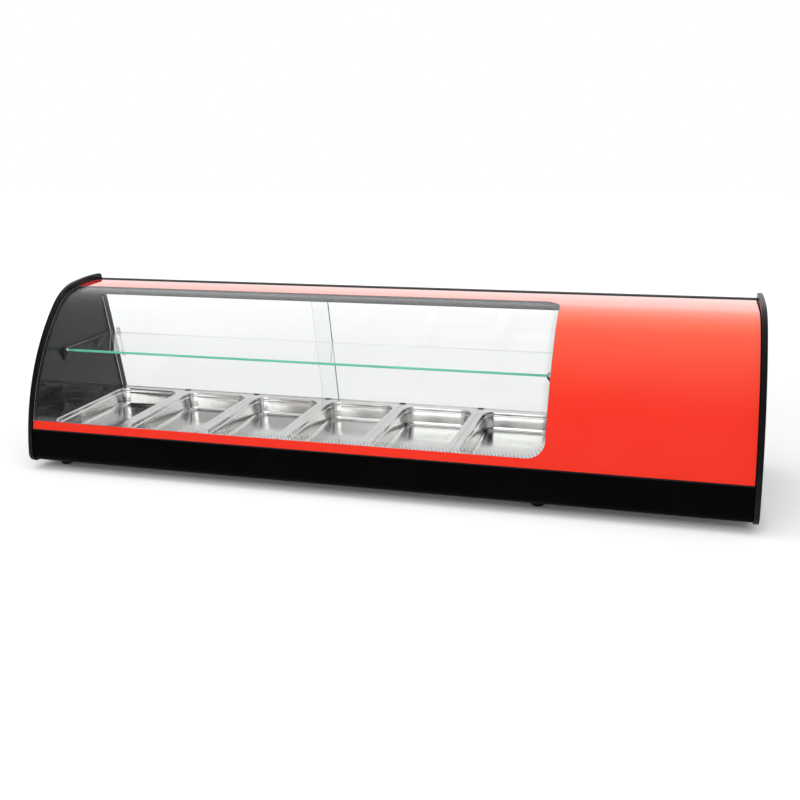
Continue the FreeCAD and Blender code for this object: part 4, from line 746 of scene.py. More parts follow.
@dataclass(frozen=True)
class SideProfile:
    """The case's side profile: three tangent arcs. Angles run from facing forwards (0) to facing up."""

    front_y: float
    front_z: float
    radii: tuple[float, float, float] = (0.430, 0.142, 0.700)
    joints: tuple[float, float] = (math.radians(47), math.radians(83))

    def centres(self) -> Array:
        """Centres of the three arcs, each on the line through the arcs' shared point.

        Returns:
            Rows of (y, z).
        """
        places = [np.array((self.front_y, self.front_z))]
        for joint, before, after in zip(self.joints, self.radii, self.radii[1:]):
            places.append(places[-1] + (before - after) * np.array((-math.cos(joint), math.sin(joint))))
        return np.array(places)

    def toe(self, bottom: float, radius: float, inset: float = 0.0, steps: int = 8) -> Turn:
        """The arc that rounds the front arc's foot into a flat bottom.

        Its centre lies its radius above the bottom and its radius inside the front arc.

        Args:
            bottom: height of the flat bottom.
            radius: radius of the arc.
            inset: distance of the front arc inside the profile.
            steps: segments in the arc.

        Returns:
            The arc, from the bottom to the front.
        """
        front = self.centres()[0]
        rise = bottom + radius - front[1]
        reach = self.radii[0] - inset - radius
        centre = (front[0] - math.sqrt(reach ** 2 - rise ** 2), bottom + radius)
        return Turn(centre, radius, THREE_QUARTERS, HALF - math.asin(rise / reach), steps)

    def moved(self, forward: float, down: float) -> "SideProfile":
        """The same profile moved forwards and down."""
        return SideProfile(self.front_y - forward, self.front_z - down, self.radii, self.joints)

    def at(self, angle: Array, inset: float | Array = 0.0) -> Array:
        """Points at angles and an inset: the arc's centre + (radius - inset)(-cos a, sin a).

        Args:
            angle: facing angles in radians.
            inset: distance inside the profile.

        Returns:
            Points (y, z), shaped like angle with a last axis of 2.
        """
        angle = np.asarray(angle, dtype=float)
        arc = (angle > self.joints[0]).astype(int) + (angle > self.joints[1])
        reach = np.array(self.radii)[arc] - inset
        return self.centres()[arc] + reach[..., None] * np.stack((-np.cos(angle), np.sin(angle)), axis=-1)

    def facing_at_height(self, height: float, inset: float) -> float:
        """Facing angle where the front arc reaches a height."""
        return math.asin((height - self.front_z) / (self.radii[0] - inset))

    def facing_at_depth(self, depth: float, inset: float) -> float:
        """Facing angle where the crown arc reaches a depth."""
        return math.acos((self.centres()[2][0] - depth) / (self.radii[2] - inset))

    def travelled(self, angle: float, inset: float) -> float:
        """Distance along the inset profile: the sum of (radius - inset) * angle over the arcs passed.

        Args:
            angle: facing angle where the distance ends. It starts at 0.
            inset: distance inside the profile.

        Returns:
            The distance.
        """
        first, second = self.joints
        reach = [radius - inset for radius in self.radii]
        parts = (min(angle, first), min(max(angle - first, 0.0), second - first), max(angle - second, 0.0))
        return sum(radius * part for radius, part in zip(reach, parts))

    def facing(self, travel: Array, inset: float) -> Array:
        """Facing angle at a distance along the inset profile, the inverse of travelled.

        Args:
            travel: distances from facing angle 0.
            inset: distance inside the profile.

        Returns:
            The angles, shaped like travel.
        """
        first, second = (self.travelled(joint, inset) for joint in self.joints)
        reach = [radius - inset for radius in self.radii]
        return np.select((travel <= first, travel <= second),
                         (travel / reach[0], self.joints[0] + (travel - first) / reach[1]),
                         self.joints[1] + (travel - second) / reach[2])


def panel_profile(front_height: float = 0.0205) -> SideProfile:
    """The end panels' profile, whose front arc touches the foremost face of the case."""
    low, _ = corners("left_end_panel")
    return SideProfile(low[1] + SideProfile.radii[0], front_height)


# ---------------------------------------------------------------- plane of the rear doors


def lean_plane(front: float = 0.1685, rim: float = 0.095) -> Plane:
    """The plane of the rear doors, which leans forwards: u along the case, v up the lean, out to the rear."""
    sine, cosine = math.sin(DOOR_LEAN), math.cos(DOOR_LEAN)
    return Plane((0.0, front, rim), (1.0, 0.0, 0.0), (0.0, -sine, cosine), (0.0, cosine, sine))


def leaning_size(node: str) -> tuple[float, float]:
    """Depth and length of a block that leans with the doors, from its box in space.

    The box is depth cos + length sin deep and length cos + depth sin high.

    Args:
        node: the CAD node.

    Returns:
        The depth out of the plane and the length up it.
    """
    low, high = corners(node)
    sine, cosine = math.sin(DOOR_LEAN), math.cos(DOOR_LEAN)
    across, tall = (high - low)[1:]
    depth = (across - tall * sine / cosine) / (cosine - sine * sine / cosine)
    return depth, (tall - depth * sine) / cosine


def leaning_extent(node: str, out: float, depth: float) -> tuple[Array, Array]:
    """Corners on the door plane of a block that leans with the doors, from its box in space.

    Args:
        node: the CAD node.
        out: distance out of the plane where the block starts.
        depth: the block's depth out of the plane.

    Returns:
        The lowest and highest (x, distance up the lean).
    """
    low, high = corners(node)
    origin = lean_plane().origin[2]
    sine, cosine = math.sin(DOOR_LEAN), math.cos(DOOR_LEAN)
    bottom = (low[2] - origin - out * sine) / cosine
    top = (high[2] - origin - (out + depth) * sine) / cosine
    return np.array((low[0], bottom)), np.array((high[0], top))


# ---------------------------------------------------------------- end panels and base


@dataclass
class EndPanels:
    """The two moulded end panels: three arcs, a rounded nose, a leaning rear edge and a flat foot."""

    toe: float = 0.020
    nose: float = 0.009
    heel: float = 0.012
    outer_round: float = 0.0025
    inner_round: float = 0.0006

    def outline(self) -> Outline:
        """The side outline in (y, z), clockwise from the toe.

        Returns:
            A closed outline of arcs and lines, each tangent to the next.
        """
        low, high = corners("left_end_panel")
        profile = panel_profile()
        front, shoulder, crown = profile.centres()
        toe = profile.toe(low[2], self.toe)
        sine, cosine = math.sin(DOOR_LEAN), math.cos(DOOR_LEAN)
        heel_centre = (high[1] - self.heel * (sine + 1) / cosine, low[2] + self.heel)
        direction = np.array((-sine, cosine))
        foot = np.array((high[1] - self.nose / cosine, low[2]))
        offset = foot - crown
        middle = offset @ direction
        travel = -middle + math.sqrt(middle ** 2 - offset @ offset + (profile.radii[2] - self.nose) ** 2)
        nose_centre = foot + travel * direction
        crown_end = math.atan2(nose_centre[1] - crown[1], nose_centre[0] - crown[0])
        first, second = (HALF - joint for joint in profile.joints)
        return Outline.of([
            toe,
            Turn(tuple(front), profile.radii[0], toe.end, first, 40),
            Turn(tuple(shoulder), profile.radii[1], first, second, 20),
            Turn(tuple(crown), profile.radii[2], second, crown_end, 20),
            Turn(tuple(nose_centre), self.nose, crown_end, DOOR_LEAN, 8),
            Turn(heel_centre, self.heel, DOOR_LEAN, -QUARTER, 8)])

    def build(self) -> None:
        """Build both panels, each rounded on its outer edge."""
        outline = self.outline()
        for side in ("left", "right"):
            low, high = corners(f"{side}_end_panel")
            outer, inner = (low[0], high[0]) if side == "left" else (high[0], low[0])
            edge = softened(0.0, abs(inner - outer), self.outer_round, self.inner_round, 6)
            edge[:, 1] = outer + edge[:, 1] * np.sign(inner - outer)
            shell = Shell(f"{side}_panel_moulding")
            shell.wall(outline, edge, SIDEWAYS)
            seat(shell.build([PANEL]), "case", "panel_black", f"{side}_end_panel")


@dataclass
class Base:
    """The bulged front below the glass, the base pan and the feet."""

    inset: float = 0.003
    wall: float = 0.003
    toe: float = 0.017
    lip: float = 0.0008
    end_plate: float = 0.002
    foot_steps: int = 48
    foot_section: tuple[tuple[float, float], ...] = (
        (0.16, 0.0), (0.10, 0.02), (0.06, 0.06), (0.05, 0.14), (0.02, 0.45), (0.02, 0.50), (0.045, 0.52),
        (0.045, 0.60), (0.0, 0.64), (0.0, 0.97), (0.03, 1.0))

    def fascia(self) -> None:
        """Build the fascia: a C-section that follows the side profile, closed by an end plate at each end."""
        low, high = corners("front_fascia")
        profile = panel_profile()
        toe = profile.toe(low[2], self.toe, self.inset, 10)
        outer = profile.radii[0] - self.inset
        inner = outer - self.wall
        front = profile.centres()[0]
        lip = self.lip
        top_end = HALF - math.asin((high[2] - lip - front[1]) / (outer - lip))
        top_centre = tuple(front + (outer - lip) * np.array((math.cos(top_end), math.sin(top_end))))
        under = HALF - math.asin((high[2] - self.wall - front[1]) / inner)
        front = tuple(front)
        back, top, bottom = high[1] - lip, high[2] - lip, low[2] + lip
        rear_top = Turn((back, top), lip, QUARTER, 0.0, 3)
        rear_foot = Turn((back, bottom), lip, 0.0, -QUARTER, 3)
        skin = [toe, Turn(front, outer, toe.end, top_end, 24), Turn(top_centre, lip, top_end, QUARTER, 5),
                rear_top]
        closed = Outline.of(skin + [rear_foot])
        hollow = Outline.of(skin + [
            Turn((back, high[2] - self.wall + lip), lip, 0.0, -QUARTER, 3),
            Turn(front, inner, under, toe.end, 24, hollow=True),
            Turn(toe.centre, self.toe - self.wall, toe.end, THREE_QUARTERS, 10, hollow=True),
            Turn((back, low[2] + self.wall - lip), lip, QUARTER, 0.0, 3),
            rear_foot])
        shell = Shell("fascia_moulding")
        ends = softened(low[0], high[0], lip, lip, 3)
        shell.wall(hollow, ends[3:-3], SIDEWAYS)
        for start, end in ((low[0], low[0] + self.end_plate), (high[0] - self.end_plate, high[0])):
            shell.wall(closed, softened(start, end, lip / 2, lip / 2, 3), SIDEWAYS)
        seat(shell.build([FASCIA]), "case", "fascia_black", "front_fascia")

    def feet(self) -> None:
        """Build the four feet: turned rubber with a ribbed waist and a rounded foot.

        The section is rows of (inset as a share of the radius, height as a share of the whole).
        """
        for node in ("foot_front_left", "foot_front_right", "foot_rear_left", "foot_rear_right"):
            low, high = corners(node)
            centre, radius = (low + high)[:2] / 2, (high - low)[0] / 2
            edge = np.array(self.foot_section) * (radius, high[2] - low[2]) + (0.0, low[2])
            shell = Shell(f"{node}_rubber")
            shell.wall(Outline.disc(centre, radius, self.foot_steps), edge, LEVEL)
            seat(shell.build([RUBBER], sharp=50), "case", "rubber_black", node)

    def build(self) -> None:
        """Build the base."""
        self.fascia()
        self.feet()
        dress(GALVANISED, "base_pan")
        dress(FASCIA, "rear_fascia")
        dress(FOAM, "foam_insulation")


# ---------------------------------------------------------------- printed front glass


@dataclass
class FrontGlass:
    """The curved front glass, its red print with a bare window, the dotted fringe and the hinge profile."""

    outer: float = 0.0065
    inner: float = 0.0115
    forward: float = 0.0045
    drop: float = 0.0055
    edge_round: float = 0.0009
    # Width of the pale strip on each end of the pane, which paints the glint of the glass's edge.
    end_line: float = 0.0011
    arc_steps: tuple[int, int, int] = (48, 24, 16)
    film_gap: float = 0.00004
    film: float = 0.00022
    window_right: float = 0.3545
    window_corner: float = 0.034
    window_low: float = 0.1078
    window_high_depth: float = 0.0145
    film_margin: float = 0.0004
    dot_pitch: float = 0.0070
    row_pitch: float = 0.0028
    dot_sizes: tuple[float, ...] = (0.0014, 0.0013, 0.0011, 0.0008)
    dot_first: float = 0.0011
    row_shift: float = 0.78
    dot_sides: int = 6
    barrel: float = 0.007
    ledge_step: float = 0.003
    ledge_gap: float = 0.0003
    profile_round: float = 0.0004

    def __post_init__(self) -> None:
        """Work out the glass's own profile and the places of its edges from the frame."""
        self.low, self.high = corners("front_glass")
        self.profile = panel_profile().moved(self.forward, self.drop)
        self.foot = self.profile.facing_at_height(self.low[2], self.outer)
        self.rear = self.profile.facing_at_depth(self.high[1], self.outer)

    def pane(self) -> None:
        """Build the bent pane as a band of the profile with ground edges; a pale strip along the outer edge
        of each end paints the glint of the glass's edge.
        """
        rim = self.edge_round
        foot, rear = (HALF - angle for angle in (self.foot, self.rear))
        front, shoulder, crown = (tuple(centre) for centre in self.profile.centres())
        first, second = (HALF - joint for joint in self.profile.joints)
        outer = [radius - self.outer for radius in self.profile.radii]
        inner = [radius - self.inner for radius in self.profile.radii]
        foot_in = HALF - self.profile.facing_at_height(self.low[2], self.inner)
        rear_in = HALF - self.profile.facing_at_depth(self.high[1], self.inner)

        def corner(centre: tuple[float, float], radius: float, angle: float, inward: float, step: float,
                   begin: float) -> Turn:
            """A quarter turn at a pane corner, set in from the arc and from the end face.

            Args:
                centre: centre of the arc that ends at the corner.
                radius: radius of that arc.
                angle: where the arc ends.
                inward: 1 to set in outwards from the arc's centre, -1 to set in towards it.
                step: 1 or -1, the way along the arc to set in.
                begin: angle where the quarter turn begins.

            Returns:
                The quarter turn.
            """
            place = angle + step * rim / radius
            reach = radius + inward * rim
            middle = (centre[0] + reach * math.cos(place), centre[1] + reach * math.sin(place))
            return Turn(middle, rim, begin, begin - QUARTER, 4)

        outline = Outline.of([
            Turn(front, outer[0], foot - rim / outer[0], first, self.arc_steps[0]),
            Turn(shoulder, outer[1], first, second, self.arc_steps[1]),
            Turn(crown, outer[2], second, rear + rim / outer[2], self.arc_steps[2]),
            corner(crown, outer[2], rear, -1, 1, rear),
            corner(crown, inner[2], rear_in, 1, 1, rear - QUARTER),
            Turn(crown, inner[2], rear_in + rim / inner[2], second, self.arc_steps[2], hollow=True),
            Turn(shoulder, inner[1], second, first, self.arc_steps[1], hollow=True),
            Turn(front, inner[0], first, foot_in - rim / inner[0], self.arc_steps[0], hollow=True),
            corner(front, inner[0], foot_in, 1, -1, foot - HALF),
            corner(front, outer[0], foot, -1, -1, foot - THREE_QUARTERS)])
        ends = ((self.end_line, self.low[0]), (self.end_line, self.high[0]))
        edge = np.vstack((ends[:1], softened(self.low[0], self.high[0], rim / 2, rim / 2, 3), ends[1:]))
        slots = np.zeros((len(edge) - 1, len(outline.points)), dtype=int)
        outside = np.arange(len(outline.points)) < sum(self.arc_steps) + len(self.arc_steps)
        # The end strip along the outer face gets the pale finish, a painted glint; the rest of each end is
        # dark.
        slots[[0, -1]] = np.where(outside, 1, 2)
        shell = Shell("front_glass_pane")
        shell.wall(outline, edge, SIDEWAYS, slots, 2)
        seat(shell.build([BENT, EDGE_GLINT, PANE_END]), "front_glass", "clear_glass", "front_glass")

    def on_glass(self, across: Array, travel: Array, lift: float) -> Array:
        """Points on the outer face: x across, and a distance travelled along the profile.

        Args:
            across: x of each point.
            travel: distance along the profile from facing forwards.
            lift: distance outside the glass.

        Returns:
            Points in space, shaped like across with a last axis of 3.
        """
        side = self.profile.at(self.profile.facing(travel, self.outer), self.outer - lift)
        return np.concatenate((across[..., None], side), axis=-1)

    def stations(self) -> tuple[float, float, float, float]:
        """Distances travelled at the print's places.

        Returns:
            The distances at the print's foot, the window's foot and top, and the print's rear edge.
        """
        angles = (self.foot, self.profile.facing_at_height(self.window_low, self.outer),
                  self.profile.facing_at_depth(self.window_high_depth, self.outer), self.rear)
        foot, low, high, rear = (self.profile.travelled(angle, self.outer) for angle in angles)
        return foot + self.film_margin, low, high, rear - self.film_margin

    def window_edge(self, travel: Array) -> Array:
        """X of the window's right edge: straight, with a circular corner at its foot and its top.

        Args:
            travel: distances travelled, within the window.

        Returns:
            The edge's x, shaped like travel.
        """
        _, low, high, _ = self.stations()
        radius = self.window_corner
        short = np.clip(radius - np.minimum(travel - low, high - travel), 0.0, radius)
        return self.window_right - radius + np.sqrt(radius ** 2 - short ** 2)

    def print_film(self) -> None:
        """Build the red print: a foot strip, a top strip and the right-hand block round the window."""
        foot, low, high, rear = self.stations()
        left, right = self.low[0] + self.film_margin, self.high[0] - self.film_margin
        bend = np.linspace(0.0, QUARTER, 13)
        radius = self.window_corner
        lower = low + radius * (1 - np.cos(bend))
        upper = high - radius * (1 - np.cos(bend[::-1]))
        middle = np.linspace(lower[-1], upper[0], 60)[1:-1]
        strips = (np.linspace(foot, low, 5), np.linspace(high, rear, 24))
        travel = np.concatenate((strips[0][:-1], lower, middle, upper, strips[1][1:]))
        inside = (travel >= low) & (travel <= high)
        start = np.where(inside, self.window_edge(travel), self.window_right - radius)
        columns = np.linspace(0.0, 1.0, 9)
        rows = start[:, None] + (right - start)[:, None] * columns
        shell = Shell("red_print_film")
        shell.grid(self.on_glass(rows, np.broadcast_to(travel[:, None], rows.shape), self.film_gap))
        for strip in strips:
            span = np.linspace(left, self.window_right - radius, 17)
            across, along = np.meshgrid(span, strip)
            shell.grid(self.on_glass(across, along, self.film_gap))
        seat(shell.build([RED_PRINT], wall=self.film), "front_glass", "clear_glass")

    def fringe(self) -> None:
        """Build the dotted fringe: rows of small flat dots that shrink away from the print's edge.

        Each row follows the window's edge at its own distance: along its foot, round the lower corner,
        up its right edge, round the upper corner and back along its top.
        """
        _, low, high, _ = self.stations()
        left = self.low[0] + self.film_margin
        centre_x = self.window_right - self.window_corner
        lower, upper = low + self.window_corner, high - self.window_corner
        straight, rise = centre_x - left, upper - lower
        spots, sizes = [], []
        for row, size in enumerate(self.dot_sizes):
            gap = self.dot_first + row * self.row_pitch
            bend = self.window_corner - gap
            lengths = np.cumsum((0.0, straight, bend * QUARTER, rise, bend * QUARTER, straight))
            distance = np.arange(row * self.row_shift % 1.0, lengths[-1] / self.dot_pitch) * self.dot_pitch
            leg = np.clip(np.searchsorted(lengths, distance, side="right") - 1, 0, 4)
            rest = distance - lengths[leg]
            turn = rest / bend
            across = np.select((leg == 0, leg == 1, leg == 2, leg == 3),
                               (left + rest, centre_x + bend * np.sin(turn), self.window_right - gap,
                                centre_x + bend * np.cos(turn)), centre_x - rest)
            travel = np.select((leg == 0, leg == 1, leg == 2, leg == 3),
                               (low + gap, lower - bend * np.cos(turn), lower + rest,
                                upper + bend * np.sin(turn)), high - gap)
            spots.append(np.column_stack((across, travel)))
            sizes.append(np.full(len(across), size))
        spot, size = np.vstack(spots), np.concatenate(sizes)
        angle = np.arange(self.dot_sides) * FULL / self.dot_sides
        rim = spot[:, None, :] + size[:, None, None] * np.column_stack((np.cos(angle), np.sin(angle)))
        lower = self.on_glass(rim[..., 0], rim[..., 1], self.film_gap)
        upper = self.on_glass(rim[..., 0], rim[..., 1], self.film_gap + self.film / 2)
        shell = Shell("dot_fringe")
        points = np.stack((lower, upper), axis=1)
        index = np.arange(points.size // 3).reshape(-1, 2, self.dot_sides)
        following = np.roll(index, -1, axis=2)
        sides = np.stack((index[:, 0], following[:, 0], following[:, 1], index[:, 1]), axis=-1)
        shell.points.append(points.reshape(-1, 3))
        shell.faces = sides.reshape(-1, 4).tolist() + index[:, 0, ::-1].tolist() + index[:, 1].tolist()
        shell.slots = [0] * len(shell.faces)
        seat(shell.build([DOT_PRINT]), "front_glass", "clear_glass")

    def hinge(self) -> None:
        """Build the profile along the rear edge: a barrel about the hinge axis, a ledge under the pane."""
        low, high = corners("glass_hinge_profile")
        axis = (high[1] - self.barrel, high[2] - self.barrel)
        back, bit = self.high[1] + self.ledge_gap, self.profile_round
        top, under = high[2], high[2] - 2 * self.barrel
        ledge = low[2] + self.ledge_step
        outline = Outline.of([
            Turn(axis, self.barrel, -QUARTER, QUARTER, 20),
            Turn((back + bit, top - bit), bit, QUARTER, HALF, 3),
            Turn((back - bit, ledge + bit), bit, 0.0, -QUARTER, 3, hollow=True),
            Turn((low[1] + bit, ledge - bit), bit, QUARTER, HALF, 3),
            Turn((low[1] + bit, low[2] + bit), bit, HALF, THREE_QUARTERS, 3),
            Turn((back - bit, low[2] - bit), bit, QUARTER, 0.0, 3, hollow=True),
            Turn((back + bit, under + bit), bit, HALF, THREE_QUARTERS, 3)])
        shell = Shell("hinge_profile_barrel")
        shell.wall(outline, softened(low[0], high[0], bit / 2, bit / 2, 3), SIDEWAYS)
        seat(shell.build([PROFILE]), "front_glass", "aluminium_profile", "glass_hinge_profile")

    def build(self) -> None:
        """Build the glass and what rides with it."""
        self.pane()
        self.print_film()
        self.fringe()
        self.hinge()
        dress(ZINC, "glass_hinge_pins")
        dress(SEAL, "glass_side_seals", "glass_sill_seal")
        dress(PROFILE, "top_rail")


# ---------------------------------------------------------------- pans and cold well


@dataclass
class ColdWell:
    """Six drawn steel pans in a steel frame over the cold well, with the clips behind their joints.

    The stacking step and the rim's bead are rows of (inset, height from the rim's top).
    """

    pans: int = 6
    rim_corner: float = 0.016
    mouth_corner: float = 0.027
    flange: float = 0.0125
    taper: float = 0.008
    sheet: float = 0.001
    floor_round: float = 0.009
    floor_turn: float = math.radians(78)
    floor_foot: float = 0.80
    wall_set_in: float = 0.0006
    wall_heights: tuple[float, float] = (-0.02, -0.0115)
    stacking_step: tuple[tuple[float, float], ...] = (
        (0.0028, -0.0108), (0.0024, -0.0098), (0.0012, -0.0091), (0.0006, -0.0084), (0.0003, -0.0040),
        (0.0, -0.0022), (-0.0005, -0.0009), (-0.0018, -0.0001), (-0.0030, 0.0))
    rim_bead: tuple[tuple[float, float], ...] = (
        (0.0030, 0.0), (0.0011, 0.0), (0.0004, -0.0001), (0.0, -0.0004), (0.0, -0.0008), (0.0004, -0.0010),
        (0.0030, -0.0010))
    corner_steps: int = 10
    clip_width: float = 0.013
    clip_corner: float = 0.0012
    clip_rounds: tuple[float, float] = (0.0002, 0.0007)
    lip_foot: float = -0.0128
    lip_head: float = -0.0008
    lip_out: float = 0.0004
    lip_lap: float = 0.0015
    lip_rise: float = 0.0008
    lip_corners: tuple[float, float] = (0.0005, 0.0004)
    lip_rounds: tuple[float, float] = (0.0002, 0.0003)

    def pan(self, index: int) -> None:
        """Build one pan: a flat rim with a softened edge, a stacking step and a rounded floor.

        The section is a list of rings, each the rim's or the mouth's outline at an inset and a height. It
        runs from the middle of the floor up the inside, over the rim and down the outside.

        Args:
            index: the pan's number, from 1 at the left.
        """
        node = f"pan_{index}"
        low, high = corners(node)
        depth = high[2] - low[2]
        rim = Outline.rounded(low[:2], high[:2], self.rim_corner, self.corner_steps)
        mouth = Outline.rounded(low[:2] + self.flange, high[:2] - self.flange, self.mouth_corner,
                                self.corner_steps)
        inside = self.floor_section(depth - self.sheet)
        outside = self.floor_section(depth, self.sheet)
        step, bead = np.array(self.stacking_step), np.array(self.rim_bead)
        under = step[::-1] - np.array((self.sheet, 0.0))
        under[:, 1] = np.minimum(under[:, 1], -self.sheet)
        parts = ((mouth, inside), (mouth, step), (rim, bead), (mouth, under), (mouth, outside[::-1]))
        rings = np.concatenate([LEVEL.place(outline.ring(edge[:, 0]),
                                            (high[2] + edge[:, 1])[:, None] + np.zeros(len(outline.points)))
                                for outline, edge in parts])
        shell = Shell(f"{node}_drawn_steel")
        shell.loft(rings)
        seat(shell.build([STAINLESS], sharp=60), node, "stainless", node)

    def floor_section(self, depth: float, sheet: float = 0.0) -> Array:
        """Insets and heights from the flat floor round its corner and up the tapered wall.

        The corner is start - r sin t and r(1 - cos t) - depth, and the wall's inset grows with its depth.

        Args:
            depth: depth of this face of the floor below the rim.
            sheet: thickness by which this face lies outside the inner one.

        Returns:
            Rows of (inset, height below the rim).
        """
        turn = np.linspace(0.0, self.floor_turn, 7)
        radius = self.floor_round + sheet
        inset = self.taper + radius * self.floor_foot - radius * np.sin(turn)
        height = radius * (1 - np.cos(turn)) - depth
        wall_height = np.array(self.wall_heights)
        wall = np.column_stack((self.wall_set_in - wall_height * self.taper / depth, wall_height))
        return np.vstack((np.column_stack((inset, height)), wall)) - np.array((sheet, 0.0))

    def clips(self) -> None:
        """Build the small black clips behind the joints between pans, each a softened block."""
        low, high = corners("pan_clips")
        pitch = (corners("pan_2")[0] - corners("pan_1")[0])[0]
        count = round((high[0] - low[0] - self.clip_width) / pitch) + 1
        shell = Shell("pan_clip_blocks")
        for left in low[0] + np.arange(count) * pitch:
            outline = Outline.rounded((left, low[1]), (left + self.clip_width, high[1]), self.clip_corner, 4)
            shell.wall(outline, softened(low[2], high[2], *self.clip_rounds, 3), LEVEL)
        seat(shell.build([PLASTIC]), "case", "plastic_black", "pan_clips")

    def rear_lip(self) -> None:
        """Build the steel lip that folds down from the frame's rear edge and covers the foam."""
        low, high = corners("pan_frame")
        plane = lean_plane()
        shell = Shell("frame_rear_lip")
        lower, upper = self.lip_rounds
        hang = Outline.rounded((low[0], self.lip_foot), (high[0], self.lip_head), self.lip_corners[0], 3)
        shell.wall(hang, softened(self.lip_out, self.lip_out + self.sheet, lower, lower, 2), plane)
        fold = Outline.rounded((low[0], high[1] - self.lip_lap), (high[0], plane.origin[1] + self.lip_lap),
                               self.lip_corners[1], 3)
        shell.wall(fold, softened(high[2], high[2] + self.lip_rise, lower, upper, 2), LEVEL)
        seat(shell.build([FRAME_STEEL]), "case", "stainless")

    def build(self) -> None:
        """Build the pans, the clips and the lip, and dress the well round them."""
        for index in range(1, self.pans + 1):
            self.pan(index)
        self.clips()
        self.rear_lip()
        dress(FRAME_STEEL, "pan_frame", "cold_well", "pan_support_bars")
        dress(COPPER, "evaporator_coil")


# ---------------------------------------------------------------- walls, shelf and lamp


@dataclass
class Interior:
    """The inner walls, the glass shelf on its strips, and the lamp under the crown."""

    shelf_corner: float = 0.012
    edge_turn: float = 0.97
    arris: float = 0.0008
    diffuser_corner: float = 0.0006
    diffuser_round: float = 0.0003

    def shelf(self) -> None:
        """Build the shelf: a pane with rounded corners, whose polished front edge shows the glass's green.

        Its side edges carry a pale finish that paints the glint along them, and its rear edge is clear.
        """
        low, high = corners("shelf_glass")
        shell = Shell("shelf_pane")
        outline = Outline.rounded(low[:2], high[:2], self.shelf_corner, 8)
        along = outline.normals[:, 1]
        # Front edge green, side edges pale as a painted glint, rear edge clear.
        edges = np.select((along < -self.edge_turn, along < 1 - self.edge_turn), (1, 2), 0)
        shell.wall(outline, softened(low[2], high[2], self.arris, self.arris, 3), LEVEL, edges, 0)
        seat(shell.build([CLEAR, SHELF_EDGE, EDGE_GLINT]), "case", "shelf_glass", "shelf_glass")

    def lamp(self) -> None:
        """Build the lamp's diffuser with its lower corners rounded."""
        low, high = corners("lamp_diffuser")
        outline = Outline.rounded(low[1:], high[1:], self.diffuser_corner, 3)
        shell = Shell("lamp_diffuser_bar")
        edge = softened(low[0], high[0], self.diffuser_round, self.diffuser_round, 2)
        shell.wall(outline, edge, SIDEWAYS)
        seat(shell.build([DIFFUSER]), "case", "diffuser_white", "lamp_diffuser")

    def build(self) -> None:
        """Build the shelf and the lamp, and dress the walls."""
        self.shelf()
        self.lamp()
        dress(LINER, "left_liner", "right_liner", "machine_partition")
        dress(PLASTIC, "shelf_rails")
        dress(LAMP_CASE, "lamp_housing")
        dress(BOARD, "led_board")


# ---------------------------------------------------------------- rear doors


@dataclass
class RearDoors:
    """Two sliding glass doors that lean forwards in their tracks, each with a finger grip."""

    arris: float = 0.0007
    pane_corner: float = 0.002
    grip_corner: float = 0.003
    grip_back: float = 0.0002
    grip_dish: tuple[tuple[float, float], ...] = ((0.0032, 1.0), (0.0042, 0.86), (0.0055, 0.78))
    outs: tuple[float, float] = (0.0035, 0.0135)
    pane: float = 0.005
    stop_proud: float = 0.003
    stop_reach: float = 0.005
    bead: float = 0.0018
    bead_proud: float = 0.0004
    bead_clear: float = 0.008

    def build(self) -> None:
        """Build the doors and their grips, and dress the tracks."""
        for side, out in zip(("left", "right"), self.outs):
            low, high = leaning_extent(f"{side}_door", out, self.pane)
            shell = Shell(f"{side}_door_pane")
            shell.wall(Outline.rounded(low, high, self.pane_corner, 4),
                       softened(out, out + self.pane, self.arris, self.arris, 2), lean_plane(), slot=1)
            edge = DOOR_EDGE if side == "left" else CLEAR
            seat(shell.build([CLEAR, edge]), f"{side}_door", "clear_glass", f"{side}_door")
            self.grip(side, out + self.pane)
        self.stop_highlight_bead()
        dress(TRACK, "door_lower_track", "door_upper_track", "door_jambs")

    def stop_highlight_bead(self) -> None:
        """Build the pale bead along the inner edge of the stop that the left door closes behind; its pale
        colour paints the highlight lines there.
        """
        low, high = corners("door_jambs")
        plane = lean_plane()
        upright = Plane(plane.origin, plane.across, plane.out, plane.along)
        right = low[0] + self.stop_proud
        outline = Outline.rounded((right - self.bead, -self.stop_reach),
                                  (right + self.bead_proud, self.bead - self.stop_reach), self.bead / 3, 4)
        foot = (self.stop_reach * plane.out[2] + self.bead) / plane.along[2]
        head = (high[2] - plane.origin[2] - self.bead_clear) / plane.along[2]
        shell = Shell("door_stop_bead")
        shell.wall(outline, softened(foot, head, self.bead / 3, self.bead / 3, 3), upright)
        seat(shell.build([HIGHLIGHT_BEAD]), "case", "track_black")

    def grip(self, side: str, out: float) -> None:
        """Build a grip: a softened block with a shallow dish for the finger.

        The dish is rows of (inset, share of the grip's depth), from its rim down to its floor.

        Args:
            side: left or right.
            out: distance out of the door plane where the grip starts.
        """
        node = f"{side}_door_grip"
        depth, _ = leaning_size(node)
        low, high = leaning_extent(node, out, depth)
        corner = min(self.grip_corner, depth / 2)
        edge = softened(out, out + depth, self.grip_back, corner / 2, 4)
        dish = np.array(self.grip_dish) * (1.0, depth) + (0.0, out)
        shell = Shell(f"{node}_moulding")
        shell.wall(Outline.rounded(low, high, self.grip_corner, 6), np.vstack((edge, dish)), lean_plane())
        seat(shell.build([ACRYLIC]), f"{side}_door", "clear_glass", node)


# ---------------------------------------------------------------- machine compartment


